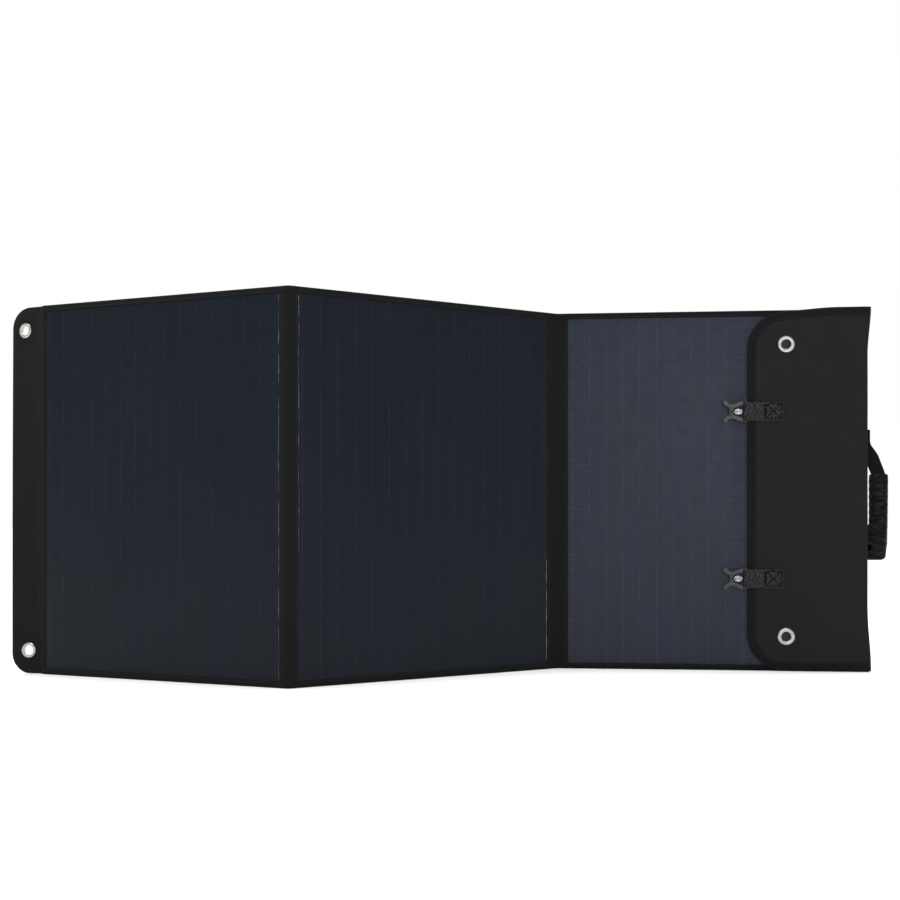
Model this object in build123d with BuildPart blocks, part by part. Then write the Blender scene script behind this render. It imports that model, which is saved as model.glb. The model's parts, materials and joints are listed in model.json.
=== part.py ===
from build123d import *
import os
from math import cos, radians, sin

# A three-leaf folding solar panel in a fabric case, standing on its long edges as a zigzag.
# Row frame: +Z up, leaf 3 lies along +X and faces -Y. Millimetres.
# Each leaf has its own frame: u along the leaf to the right, v up, w out of its face.

os.makedirs("parts", exist_ok=True)

# ---- driving dimensions -------------------------------------------------------------
CASE_H = 485.0                  # height of the case, the length of every leaf
LEAF_W = 376.5                  # fold line to fold line on the middle leaf
WINDOW_W, WINDOW_H = 355.0, 469.0   # laminate that shows on each leaf
FOLD_STRIPS = (9.0, 8.0, 13.5)  # cloth from a fold line to the laminate: leaf 1, 2 and 3
FOLD_A_OPEN = 50.8              # bend at rest between leaves 1 and 2, degrees from flat
FOLD_B_OPEN = 35.0              # bend at rest between leaves 2 and 3, degrees from flat

# layers of a leaf, as heights w above the back of the case
CLOTH = 0.8
BOARD_W = (0.8, 2.8)
BACKSHEET_W = (2.8, 3.6)
CELL_W = (3.6, 4.0)
FILM_W = (4.0, 4.6)
FACE_W = 5.4                    # front of the cloth around the laminate
TAPE = 0.6                      # binding tape on each side of the edge
EDGE_TAPE = 0.8                 # binding tape over the edge itself
TAPE_WIDE = 8.0                 # how far the binding reaches in from the edge

AXIS_A_BEHIND = 3.0             # fold A turns about a line behind the backs
AXIS_B_FRONT = 5.0              # fold B turns about a line in front of the faces
CUT = 0.25                      # cloth stops this far from a fold's own plane
WEB_REACH = 5.0                 # soft cloth on each side of a fold line
BOARD_INSET = 2.0
LAMINATE_OVERLAP = 2.5          # laminate hidden under the cloth on each side
CELLS, CELL_PITCH, CELL_GAP, CELL_H = 15, 22.9, 0.6, 461.0

TAIL_FOLD_U = -369.0            # soft strip with eyelets on leaf 1
TAIL_REACH = (414.0, 422.0)     # how far it goes from fold line A, at its bottom and top
TAIL_W = (1.5, 3.9)
TAIL_CORNER = 27.0
TAIL_TWIST = (12.0, -2.0)       # degrees that its bottom and top stand forward of leaf 1
TAIL_EYELETS = [(-390.5, 31.0), (-400.0, 454.0)]

SPINE_U = (383.0, 414.5)        # soft side of leaf 3, which the flap grows out of
FLAP_FOLD = (415.0, 6.1)        # u and w of the line that the flap turns about
FLAP_LEFT, FLAP_CORNER = 254.5, 50.0
FLAP_V = (0.5, 482.5)
FREE_V = (0.5, CASE_H - 0.5)    # the tail hangs clear of the floor
FLAP_W = (6.8, 7.5, 9.0, 9.8)   # lining, board, outer cloth
FLAP_TAPE, FLAP_TAPE_WIDE = 0.4, 12.0
FLAP_BOARD_INSET, FLAP_BOARD_RIGHT = 14.0, 395.0
FLAP_EYELETS = [(305.8, 46.5), (305.8, 438.5)]

EYELET_HOLE, EYELET_BARREL = 6.5, 7.2       # radii
TAIL_FLANGE, FLAP_FLANGE = 10.0, 11.35
WASHER_T, EYELET_CURL, EYELET_DOME = 0.6, 0.2, 1.1
EYELET_REST = 0.05              # play between the twisted cloth and the flat metal

CLIP_V = {"upper": 348.5, "lower": 124.0}
WEBBING = 25.0                  # width of the clip webbing
BAR_U, BAR_W, BAR_R = 252.0, 11.4, 1.2      # bar that the webbing goes round
BAR_GAP = 0.05
LOOP_R = 2.25
TAB_END_U, TAB_SEAM_U = 302.0, 272.0
TAB_W = (10.3, 12.4)
YOKE_W = (8.6, 10.9)
LEVER_W = (11.0, 13.5)
PIVOT_S, PIVOT_T, PIVOT_R = 19.0, 4.6, 1.4  # lever pivots, from the bar and the middle
LEVER_WIDE, LEVER_TIP_R = 4.8, 2.7
CLIP_BOSS_T = (12.75, 14.4)

HANDLE_AXIS = (394.8, -2.6)     # u and w of the line that the handle swings about
HANDLE_STRAP_WIDE, STRAP_W = 16.0, (-4.6, -2.7)
HANDLE_ROUTE = [(409.0, 323.0), (409.0, 299.0), (433.0, 266.0),
                (432.0, 160.0), (403.0, 150.0), (403.0, 94.0)]
HANDLE_BEND = 18.0
GRIP_U, GRIP_V = (415.0, 449.0), (149.0, 262.0)
GRIP_WIDE, GRIP_WALL, GRIP_W = 22.0, 1.0, (-13.7, -1.7)
ANCHOR_V = [(94.0, 118.0), (299.0, 323.0)]
ANCHOR_W = (-2.5, 0.0)

LEAD_V, LEAD_WIDE, LEAD_T = 62.0, 6.0, 1.1
TERMINAL = 5.0                  # side of the square pad where a lead meets the laminate
TERMINAL_IN = 40.0              # distance of that pad from a fold line

BOX_U, BOX_V = (80.0, 190.0), (45.0, 105.0)     # junction box on the back of leaf 3
BOX_DEEP, BOX_LID, BOX_WALL, BOX_CORNER = 14.0, 2.0, 2.0, 6.0
BOX_SCREW_IN, BOX_BOSS_R = 6.5, 5.2     # screws stand this far in from the box's sides
SCREW_R, SCREW_HEAD_R, SCREW_HEAD_T, SCREW_LONG = 1.2, 2.6, 1.2, 8.0
CIRCUIT_U, CIRCUIT_V, CIRCUIT_W = (90.0, 158.0), (55.0, 95.0), (-8.0, -6.4)
GLAND_V, GLAND_W, GLAND_BORE = 75.0, -8.0, 2.5
GLAND_NECK, GLAND_FLANGE = 4.5, 7.0

KEEPER_BACK = 3.0               # the clip holds its stud this far inside its tips
STUD_BASE, STUD_NECK, STUD_HEAD = 8.0, 3.2, 4.5

CLIP_TIP_S = 30.0
UP = Vector(0, 0, 1)


# ---- leaf frames --------------------------------------------------------------------
class Leaf:
    """A leaf's frame and the spans of its cloth, board and window along u."""

    def __init__(self, name, axis, axis_w, turn, cloth, window_left):
        self.name = name
        self.along = Vector(cos(radians(turn)), sin(radians(turn)), 0)
        self.out = self.along.cross(UP)
        self.origin = axis - self.out * axis_w
        self.cloth = cloth
        self.board = (cloth[0] + BOARD_INSET, cloth[1] - BOARD_INSET)
        self.window = (window_left, window_left + WINDOW_W)

    def point(self, u, v, w):
        return self.origin + self.along * u + UP * v + self.out * w

    def face(self, w):
        """Plane at height w, with sketch x = u and sketch y = v, looking out of the face."""
        return Plane(origin=self.point(0, 0, w), x_dir=self.along, z_dir=self.out)

    def plan(self, v):
        """Level plane at height v, with sketch x = u and sketch y = w. It looks down."""
        return Plane(origin=self.point(0, v, 0), x_dir=self.along, z_dir=-UP)

    def across(self, u):
        """Plane across the leaf at u, with sketch x = w and sketch y = v. It looks left."""
        return Plane(origin=self.point(u, 0, 0), x_dir=self.out, z_dir=-self.along)


TURN_1, TURN_2, TURN_3 = FOLD_B_OPEN - FOLD_A_OPEN, FOLD_B_OPEN, 0.0
AXIS_A_W = -AXIS_A_BEHIND
AXIS_B_W = FACE_W + AXIS_B_FRONT


def fold_lines(shift):
    """The points where fold lines A and B cross the floor, when B stands at shift."""
    along = Vector(cos(radians(TURN_2)), sin(radians(TURN_2)), 0)
    return shift - along * LEAF_W - along.cross(UP) * (AXIS_B_W - AXIS_A_W), shift


def leaves(shift):
    line_a, line_b = fold_lines(shift)
    return (
        Leaf("leaf_1", line_a, AXIS_A_W, TURN_1, (TAIL_FOLD_U + CUT, -WEB_REACH),
             -FOLD_STRIPS[0] - WINDOW_W),
        Leaf("leaf_2", line_a, AXIS_A_W, TURN_2, (WEB_REACH, LEAF_W - WEB_REACH), FOLD_STRIPS[1]),
        Leaf("leaf_3", line_b, AXIS_B_W, TURN_3, (WEB_REACH, SPINE_U[0]), FOLD_STRIPS[2]),
    )


def tail_place(leaf, reach, v):
    """Middle of the tail's cloth at height v, reach away from its fold, and the way it runs."""
    ends = [leaf.out * sin(radians(turn)) - leaf.along * cos(radians(turn)) for turn in TAIL_TWIST]
    share = (v - FREE_V[0]) / (FREE_V[1] - FREE_V[0])
    away = ends[0] * (1 - share) + ends[1] * share
    rise = UP + (ends[1] - ends[0]) * (reach / (FREE_V[1] - FREE_V[0]))
    return leaf.point(TAIL_FOLD_U - CUT, v, sum(TAIL_W) / 2) + away * reach, away, rise


def centred_shift():
    """Where fold line B stands so that the origin is the middle of the object's floor box."""
    one, two, three = leaves(Vector(0, 0, 0))
    left = tail_place(one, TAIL_REACH[1] + TAIL_FOLD_U - CUT, CASE_H - TAIL_CORNER)[0].X
    right = three.point(HANDLE_ROUTE[2][0] + GRIP_WIDE / 2, 0, 0).X
    near = one.point(-CUT, 0, FACE_W + TAPE).Y
    far = three.point(0, 0, -BOX_DEEP - BOX_LID).Y
    return Vector(-(left + right) / 2, -(near + far) / 2, 0)


ONE, TWO, THREE = leaves(centred_shift())
FOLDS = fold_lines(centred_shift())


# ---- small helpers ------------------------------------------------------------------
def spread(u, v):
    """A rectangle from u[0] to u[1] and v[0] to v[1] on the sketch being drawn."""
    with Locations(((u[0] + u[1]) / 2, (v[0] + v[1]) / 2)):
        Rectangle(u[1] - u[0], v[1] - v[0])


def save(builder, name):
    builder.part.label = name
    export_step(builder.part, f"parts/{name}.step")


def thick(layer):
    return layer[1] - layer[0]


INSIDE_V = (EDGE_TAPE, CASE_H - EDGE_TAPE)
BOARD_V = (EDGE_TAPE + CLOTH, CASE_H - EDGE_TAPE - CLOTH)
WINDOW_V = ((CASE_H - WINDOW_H) / 2, (CASE_H + WINDOW_H) / 2)
LEAD_BAND = (LEAD_V - LEAD_WIDE / 2, LEAD_V + LEAD_WIDE / 2)
LEAD_W = (BOARD_W[0], BOARD_W[0] + LEAD_T)
BOX_MID_U = sum(CIRCUIT_U) / 2
TERMINALS = {"leaf_1": -TERMINAL_IN, "leaf_2": TERMINAL_IN, "leaf_3": TERMINAL_IN}
LEAD_SPANS = {
    "leaf_1": (-TERMINAL_IN - TERMINAL, -CUT),
    "leaf_2": (CUT, LEAF_W - CUT),
    "leaf_3": (CUT, BOX_MID_U + TERMINAL / 2),
}


# ---- the leaves ---------------------------------------------------------------------
def back_cover(leaf):
    with BuildPart() as cover:
        with BuildSketch(leaf.face(0)):
            spread(leaf.cloth, INSIDE_V)
            if leaf is THREE:
                with Locations((BOX_MID_U, LEAD_V)):
                    Rectangle(TERMINAL, TERMINAL, mode=Mode.SUBTRACT)
        extrude(amount=CLOTH)
    save(cover, f"{leaf.name}_back_cover")


def board(leaf):
    """Stiffener with a groove in its back for the flat lead, and a window to the laminate."""
    wire = LEAD_SPANS[leaf.name]
    groove = (max(wire[0], leaf.board[0]), min(wire[1], leaf.board[1]))
    with BuildPart() as stiffener:
        with BuildSketch(leaf.face(BOARD_W[0])):
            spread(leaf.board, BOARD_V)
        extrude(amount=thick(BOARD_W))
        with BuildSketch(leaf.face(BOARD_W[0])):
            spread(groove, LEAD_BAND)
        extrude(amount=LEAD_T, mode=Mode.SUBTRACT)
        with BuildSketch(leaf.face(BOARD_W[0])):
            with Locations((TERMINALS[leaf.name], LEAD_V)):
                Rectangle(TERMINAL, TERMINAL)
        extrude(amount=thick(BOARD_W), mode=Mode.SUBTRACT)
    save(stiffener, f"{leaf.name}_board")


def laminate_layer(leaf, layer, name):
    """A plain sheet as large as the laminate, at the given heights."""
    with BuildPart() as sheet:
        with BuildSketch(leaf.face(layer[0])):
            spread((leaf.window[0] - LAMINATE_OVERLAP, leaf.window[1] + LAMINATE_OVERLAP),
                   (WINDOW_V[0] - LAMINATE_OVERLAP, WINDOW_V[1] + LAMINATE_OVERLAP))
        extrude(amount=thick(layer))
    save(sheet, f"{leaf.name}_{name}")


def cells(leaf):
    """Tall cell strips side by side, each a separate solid."""
    with BuildPart() as strips:
        with BuildSketch(leaf.face(CELL_W[0])):
            with Locations((sum(leaf.window) / 2, CASE_H / 2)):
                with GridLocations(CELL_PITCH, 1, CELLS, 1):
                    Rectangle(CELL_PITCH - CELL_GAP, CELL_H)
        extrude(amount=thick(CELL_W))
    save(strips, f"{leaf.name}_cells")


def side_strips(leaf):
    """Cloth down both sides of the laminate, over the edge of its film."""
    with BuildPart() as strips:
        with BuildSketch(leaf.face(FILM_W[1])):
            spread((leaf.cloth[0], leaf.window[0]), INSIDE_V)
            spread((leaf.window[1], leaf.cloth[1]), INSIDE_V)
        extrude(amount=FACE_W - FILM_W[1])
    save(strips, f"{leaf.name}_side_strips")


def binding(leaf, span):
    """Tape folded over the top and bottom edges, from span[0] to span[1]."""
    with BuildPart() as tape:
        with BuildSketch(leaf.across(span[1])):
            for low, mouth in ((0, EDGE_TAPE), (CASE_H - TAPE_WIDE, -EDGE_TAPE)):
                outer = (low, low + TAPE_WIDE)
                spread((-TAPE, FACE_W + TAPE), outer)
                with Locations((FACE_W / 2, sum(outer) / 2 + mouth)):
                    Rectangle(FACE_W, TAPE_WIDE, mode=Mode.SUBTRACT)
        extrude(amount=span[1] - span[0])
    save(tape, f"{leaf.name}_binding")


def lead(leaf):
    """Flat lead in the board's groove, with a pad up to the laminate.
    Leaf 3's lead also drops through the back cover to the circuit board."""
    with BuildPart() as wire:
        with BuildSketch(leaf.face(LEAD_W[0])):
            spread(LEAD_SPANS[leaf.name], LEAD_BAND)
        extrude(amount=LEAD_T)
        with BuildSketch(leaf.face(LEAD_W[0])):
            with Locations((TERMINALS[leaf.name], LEAD_V)):
                Rectangle(TERMINAL, TERMINAL)
        extrude(amount=thick(BOARD_W))
        if leaf is THREE:
            with BuildSketch(leaf.face(CIRCUIT_W[1])):
                with Locations((BOX_MID_U, LEAD_V)):
                    Rectangle(TERMINAL, TERMINAL)
            extrude(amount=LEAD_W[1] - CIRCUIT_W[1])
    save(wire, f"{leaf.name}_lead")


def fold_web(leaf, fold_u, side, name):
    """Half of the soft cloth over a fold: front and back layers, sewn together at the fold.
    side is +1 when the cloth lies to the right of the fold line."""
    ends = sorted((fold_u + side * CUT, fold_u + side * WEB_REACH))
    seam = sorted((fold_u + side * CUT, fold_u + side * (CUT + CLOTH)))
    inner = (CLOTH, FACE_W - CLOTH)
    with BuildPart() as web:
        with BuildSketch(leaf.plan(INSIDE_V[0])):
            spread(ends, (0, CLOTH))
            spread(ends, (FACE_W - CLOTH, FACE_W))
            spread(seam, inner)
        extrude(amount=-(INSIDE_V[1] - INSIDE_V[0]))
        with BuildSketch(leaf.face(LEAD_W[0])):
            spread(seam, LEAD_BAND)
        extrude(amount=LEAD_T, mode=Mode.SUBTRACT)
    save(web, name)


BINDING_SPANS = {"leaf_1": (TAIL_FOLD_U + CUT, -CUT), "leaf_2": (CUT, LEAF_W - CUT),
                 "leaf_3": (CUT, SPINE_U[1])}
for leaf in (ONE, TWO, THREE):
    back_cover(leaf)
    board(leaf)
    laminate_layer(leaf, BACKSHEET_W, "backsheet")
    cells(leaf)
    laminate_layer(leaf, FILM_W, "front_film")
    side_strips(leaf)
    binding(leaf, BINDING_SPANS[leaf.name])
    lead(leaf)
fold_web(ONE, 0.0, -1, "fold_a_cloth_left")
fold_web(TWO, 0.0, 1, "fold_a_cloth_right")
fold_web(TWO, LEAF_W, -1, "fold_b_cloth_left")
fold_web(THREE, 0.0, 1, "fold_b_cloth_right")


# ---- eyelets ------------------------------------------------------------------------
def eyelets(frames, flange, cloth_w, name):
    """Rolled metal eyelets: a domed flange in front, a barrel, and a curl over the washer.
    Each frame has its origin on the eyelet's axis at w = 0 and looks along that axis."""
    front, back = cloth_w[1] + EYELET_REST, cloth_w[0] - EYELET_REST - WASHER_T
    dome_mid = (EYELET_HOLE + flange) / 2
    with BuildPart() as ring:
        for frame in frames:
            across = frame.x_dir.cross(frame.z_dir)
            with BuildSketch(Plane(origin=frame.origin, x_dir=frame.x_dir, z_dir=across)):
                with BuildLine():
                    Polyline((flange, front), (EYELET_BARREL, front),
                             (EYELET_BARREL, back), (EYELET_BARREL + 1, back),
                             (EYELET_BARREL + 1, back - EYELET_CURL),
                             (EYELET_HOLE, back - EYELET_CURL),
                             (EYELET_HOLE, front + EYELET_CURL))
                    ThreePointArc((EYELET_HOLE, front + EYELET_CURL),
                                  (dome_mid, front + EYELET_DOME),
                                  (flange, front))
                make_face()
            revolve(axis=Axis(frame.origin, frame.z_dir))
    save(ring, name)


def washers(frames, flange, cloth_w, name):
    with BuildPart() as rings:
        for frame in frames:
            with BuildSketch(frame.offset(cloth_w[0] - EYELET_REST - WASHER_T)):
                Circle(flange)
                Circle(EYELET_BARREL, mode=Mode.SUBTRACT)
            extrude(amount=WASHER_T)
    save(rings, name)


# ---- tail of leaf 1, a soft strip that twists along its height ----------------------
def tail_frame(u, v):
    """Frame of a tail eyelet, square to the twisted cloth."""
    middle, away, rise = tail_place(ONE, TAIL_FOLD_U - CUT - u, v)
    normal = (-away).cross(rise).normalized()
    return Plane(origin=middle - normal * (sum(TAIL_W) / 2), x_dir=-away, z_dir=normal)


TAIL_FRAMES = [tail_frame(u, v) for u, v in TAIL_EYELETS]
TAIL_LONG = TAIL_REACH[1] + TAIL_FOLD_U + 1     # a little more than the outline keeps

with BuildPart() as tail_cloth:
    for v, turn in zip(FREE_V, TAIL_TWIST):
        run = Vector(-cos(radians(turn)), sin(radians(turn))) * TAIL_LONG
        half = Vector(sin(radians(turn)), cos(radians(turn))) * (thick(TAIL_W) / 2)
        fold = Vector(TAIL_FOLD_U - CUT, sum(TAIL_W) / 2)
        with BuildSketch(ONE.plan(v)):
            with BuildLine():
                Polyline(*[tuple(corner)[:2] for corner in (
                    fold + half, fold + run + half, fold + run - half, fold - half)], close=True)
            make_face()
    loft()
    with BuildSketch(ONE.face(-TAIL_LONG)) as tail_outline:
        with BuildLine():
            Polyline((TAIL_FOLD_U, FREE_V[0]), (-TAIL_REACH[0], FREE_V[0]),
                     (-TAIL_REACH[1], FREE_V[1]), (TAIL_FOLD_U, FREE_V[1]), close=True)
        make_face()
        fillet(tail_outline.vertices().sort_by(Axis.X)[:2], TAIL_CORNER)
    extrude(amount=2 * TAIL_LONG, mode=Mode.INTERSECT)
    for frame in TAIL_FRAMES:
        with BuildSketch(frame):
            Circle(EYELET_BARREL)
        extrude(amount=2 * TAIL_W[1], mode=Mode.SUBTRACT)
save(tail_cloth, "tail_cloth")
eyelets(TAIL_FRAMES, TAIL_FLANGE, TAIL_W, "tail_eyelets")
washers(TAIL_FRAMES, TAIL_FLANGE, TAIL_W, "tail_washers")

# ---- spine and flap of leaf 3 -------------------------------------------------------
with BuildPart() as spine_cloth:
    with BuildSketch(THREE.face(0)):
        spread(SPINE_U, INSIDE_V)
    extrude(amount=FACE_W)
save(spine_cloth, "spine_cloth")


def flap_layer(inset, low, high, name, right=SPINE_U[1]):
    """A layer of the flap, its outline drawn in by inset on the three free sides."""
    with BuildPart() as layer:
        with BuildSketch(THREE.face(low)) as outline:
            spread((FLAP_LEFT + inset, right), (FLAP_V[0] + inset, FLAP_V[1] - inset))
            fillet(outline.vertices().group_by(Axis.X)[0], FLAP_CORNER - inset)
            with Locations(*FLAP_EYELETS):
                Circle(EYELET_BARREL, mode=Mode.SUBTRACT)
        extrude(amount=high - low)
    save(layer, name)


flap_layer(FLAP_TAPE, FLAP_W[0], FLAP_W[1], "flap_lining")
flap_layer(FLAP_BOARD_INSET, FLAP_W[1], FLAP_W[2], "flap_board", FLAP_BOARD_RIGHT)
flap_layer(FLAP_TAPE, FLAP_W[2], FLAP_W[3], "flap_cover")

with BuildPart() as flap_binding:
    for inset, low, high, mode in (
        (0.0, FLAP_W[0] - FLAP_TAPE, FLAP_W[3] + FLAP_TAPE, Mode.ADD),
        (FLAP_TAPE_WIDE, FLAP_W[0] - FLAP_TAPE, FLAP_W[3] + FLAP_TAPE, Mode.SUBTRACT),
        (FLAP_TAPE, FLAP_W[0], FLAP_W[3], Mode.SUBTRACT),
    ):
        with BuildSketch(THREE.face(low)) as outline:
            spread((FLAP_LEFT + inset, SPINE_U[1]), (FLAP_V[0] + inset, FLAP_V[1] - inset))
            fillet(outline.vertices().group_by(Axis.X)[0], FLAP_CORNER - inset)
        extrude(amount=high - low, mode=mode)
save(flap_binding, "flap_binding")
FLAP_FRAMES = [Plane(origin=THREE.point(u, v, 0), x_dir=THREE.along, z_dir=THREE.out)
               for u, v in FLAP_EYELETS]
eyelets(FLAP_FRAMES, FLAP_FLANGE, (FLAP_W[0], FLAP_W[3]), "flap_eyelets")
washers(FLAP_FRAMES, FLAP_FLANGE, (FLAP_W[0], FLAP_W[3]), "flap_washers")


# ---- webbing tabs and snap clips ----------------------------------------------------
def clip_tab(place, middle):
    """Webbing folded round the clip's bar and sewn to the flap."""
    with BuildPart() as tab:
        with BuildSketch(THREE.plan(middle - WEBBING / 2)):
            spread((BAR_U, TAB_END_U), TAB_W)
            spread((TAB_SEAM_U, TAB_END_U), (FLAP_W[3], TAB_W[1]))
            with Locations((BAR_U, BAR_W)):
                Circle(LOOP_R)
                Circle(BAR_R + BAR_GAP, mode=Mode.SUBTRACT)
        extrude(amount=-WEBBING)
    save(tab, f"{place}_clip_tab")


def clip_yoke(place, middle):
    """Moulded frame: the bar, two bosses that hold it, two arms, a waist and its pins."""
    boss_mid, arm_wide, stop_r = sum(CLIP_BOSS_T) / 2, 2.8, 1.4
    with BuildPart() as yoke:
        with BuildSketch(THREE.face(YOKE_W[0])):
            for side in (-1, 1):
                with BuildLine():
                    Spline((BAR_U - 4, middle + side * boss_mid),
                           (BAR_U - 11, middle + side * 9.4),
                           (BAR_U - PIVOT_S, middle + side * 4))
                trace(line_width=arm_wide)
                with Locations((BAR_U - 2.2, middle + side * boss_mid)):
                    Rectangle(7.6, thick(CLIP_BOSS_T))
            with Locations((BAR_U - PIVOT_S, middle)):
                Ellipse(3.0, 7.0)
        extrude(amount=thick(YOKE_W))
        with BuildSketch(THREE.face(YOKE_W[1])):
            with Locations((BAR_U - PIVOT_S - 1.2, middle)):
                Circle(stop_r)
        extrude(amount=LEVER_W[0] + 1 - YOKE_W[1])
        with BuildSketch(THREE.face(YOKE_W[0])):
            for side in (-1, 1):
                with Locations((BAR_U, middle + side * boss_mid)):
                    Rectangle(3.2, thick(CLIP_BOSS_T))
        extrude(amount=BAR_W + BAR_R - YOKE_W[0])
        with BuildSketch(THREE.plan(middle - CLIP_BOSS_T[1])):
            with Locations((BAR_U, BAR_W)):
                Circle(BAR_R)
        extrude(amount=-2 * CLIP_BOSS_T[1])
        with BuildSketch(THREE.face(YOKE_W[1])):
            with Locations((BAR_U - PIVOT_S, middle - PIVOT_T), (BAR_U - PIVOT_S, middle + PIVOT_T)):
                Circle(PIVOT_R)
        extrude(amount=LEVER_W[1] - YOKE_W[1] + 0.2)
    save(yoke, f"{place}_clip_yoke")


def clip_lever(place, middle, side, letter):
    """Bowed jaw lever with a pivot eye. side is +1 for the top lever."""
    with BuildPart() as lever:
        with BuildSketch(THREE.face(LEVER_W[0])):
            with BuildLine():
                Spline((BAR_U - 5.9, middle + side * 10.9), (BAR_U - 12, middle + side * 8.8),
                       (BAR_U - 18.5, middle + side * 7.0), (BAR_U - 24, middle + side * 8.6),
                       (BAR_U - 27.0, middle + side * 11.8))
            trace(line_width=LEVER_WIDE)
            with Locations((BAR_U - 27.0, middle + side * 11.8)):
                Circle(LEVER_TIP_R)
            with Locations((BAR_U - 5.9, middle + side * 10.9)):
                Circle(LEVER_WIDE / 2)
            with Locations((BAR_U - PIVOT_S, middle + side * PIVOT_T)):
                Circle(2.9)
                Circle(PIVOT_R + BAR_GAP, mode=Mode.SUBTRACT)
        extrude(amount=thick(LEVER_W))
    save(lever, f"{place}_clip_lever_{letter}")


def clip_spring(place, middle):
    """Torsion spring between the levers: close turns of wire and two short legs."""
    wire, coil, pitch, turns = 0.55, 3.7, 0.95, 3
    coil_u, low = BAR_U - 10.4, YOKE_W[0] + 2 * wire
    leg_w = low + pitch / 2
    with BuildPart() as spring:
        with BuildSketch(THREE.plan(middle)):
            with Locations(*[(coil_u + coil, low + pitch * turn) for turn in range(turns)]):
                Circle(wire)
        revolve(axis=Axis(THREE.point(coil_u, middle, 0), THREE.out))
        for side in (-1, 1):
            start = THREE.point(coil_u, middle + side * coil, leg_w)
            aim = (THREE.along * 0.7 + UP * side).normalized()
            with BuildSketch(Plane(origin=start, z_dir=aim)):
                Circle(wire * 0.9)
            extrude(amount=1.6)
    save(spring, f"{place}_clip_spring")


for place, middle in CLIP_V.items():
    clip_tab(place, middle)
    clip_yoke(place, middle)
    clip_lever(place, middle, 1, "a")
    clip_lever(place, middle, -1, "b")
    clip_spring(place, middle)


# ---- carrying handle ----------------------------------------------------------------
with BuildPart() as handle_anchors:
    with BuildSketch(THREE.face(ANCHOR_W[0])):
        for (middle_u, _), span in zip((HANDLE_ROUTE[-1], HANDLE_ROUTE[0]), ANCHOR_V):
            spread((middle_u - HANDLE_STRAP_WIDE / 2, middle_u + HANDLE_STRAP_WIDE / 2), span)
    extrude(amount=thick(ANCHOR_W))
save(handle_anchors, "handle_anchors")

with BuildPart() as handle_strap:
    with BuildSketch(THREE.face(STRAP_W[0])):
        with BuildLine():
            FilletPolyline(*HANDLE_ROUTE, radius=HANDLE_BEND)
        trace(line_width=HANDLE_STRAP_WIDE)
    extrude(amount=thick(STRAP_W))
save(handle_strap, "handle_strap")


def along_grip(wide, inset, low, high, name, hollow=None):
    """The grip's length of the handle's route, as wide as given and inset at its ends.
    hollow holds the same four sizes for what is taken out of it."""
    cuts = [(wide, inset, low, high, Mode.ADD)]
    if hollow:
        cuts.append((*hollow, Mode.SUBTRACT))
    with BuildPart() as grip:
        for across, short, start, end, mode in cuts:
            with BuildSketch(THREE.face(start)):
                with BuildLine():
                    FilletPolyline(*HANDLE_ROUTE, radius=HANDLE_BEND)
                trace(line_width=across)
                with Locations((sum(GRIP_U) / 2, sum(GRIP_V) / 2)):
                    Rectangle(thick(GRIP_U) - 2 * short, thick(GRIP_V) - 2 * short,
                              mode=Mode.INTERSECT)
            extrude(amount=end - start, mode=mode)
    save(grip, name)


CORE_WIDE = GRIP_WIDE - 2 * GRIP_WALL - 1
along_grip(CORE_WIDE, 2, GRIP_W[0] + GRIP_WALL, STRAP_W[0], "handle_core")
along_grip(GRIP_WIDE, 0, *GRIP_W, "handle_sleeve",
           (CORE_WIDE, -1, GRIP_W[0] + GRIP_WALL, STRAP_W[1]))

# ---- junction box on the back of leaf 3 ---------------------------------------------
BOX_MID = (sum(BOX_U) / 2, sum(BOX_V) / 2)
SCREW_GRID = (thick(BOX_U) - 2 * BOX_SCREW_IN, thick(BOX_V) - 2 * BOX_SCREW_IN)

with BuildPart() as junction_base:
    with BuildSketch(THREE.face(-BOX_DEEP)):
        with Locations(BOX_MID):
            RectangleRounded(thick(BOX_U), thick(BOX_V), BOX_CORNER)
    extrude(amount=BOX_DEEP)
    with BuildSketch(THREE.face(-BOX_DEEP)):
        with Locations(BOX_MID):
            RectangleRounded(thick(BOX_U) - 2 * BOX_WALL, thick(BOX_V) - 2 * BOX_WALL,
                             BOX_CORNER - BOX_WALL)
            with GridLocations(*SCREW_GRID, 2, 2):
                Circle(BOX_BOSS_R, mode=Mode.SUBTRACT)
    extrude(amount=BOX_DEEP - BOX_WALL, mode=Mode.SUBTRACT)
    with BuildSketch(THREE.face(CIRCUIT_W[1])):
        with Locations((sum(CIRCUIT_U) / 2, sum(CIRCUIT_V) / 2)):
            with GridLocations(thick(CIRCUIT_U) - 8, thick(CIRCUIT_V) - 8, 2, 2):
                Circle(2.2)
    extrude(amount=-BOX_WALL - CIRCUIT_W[1])
    with BuildSketch(THREE.face(-BOX_DEEP)):
        with Locations(BOX_MID):
            with GridLocations(*SCREW_GRID, 2, 2):
                Circle(SCREW_R)
    extrude(amount=SCREW_LONG - BOX_LID + SCREW_HEAD_T, mode=Mode.SUBTRACT)
    with BuildSketch(THREE.face(-BOX_WALL)):
        with Locations((BOX_MID_U, LEAD_V)):
            Rectangle(TERMINAL, TERMINAL)
    extrude(amount=BOX_WALL, mode=Mode.SUBTRACT)
    with BuildSketch(THREE.across(BOX_U[1])):
        with Locations((GLAND_W, GLAND_V)):
            Circle(GLAND_NECK)
    extrude(amount=BOX_WALL, mode=Mode.SUBTRACT)
save(junction_base, "junction_base")

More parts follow.
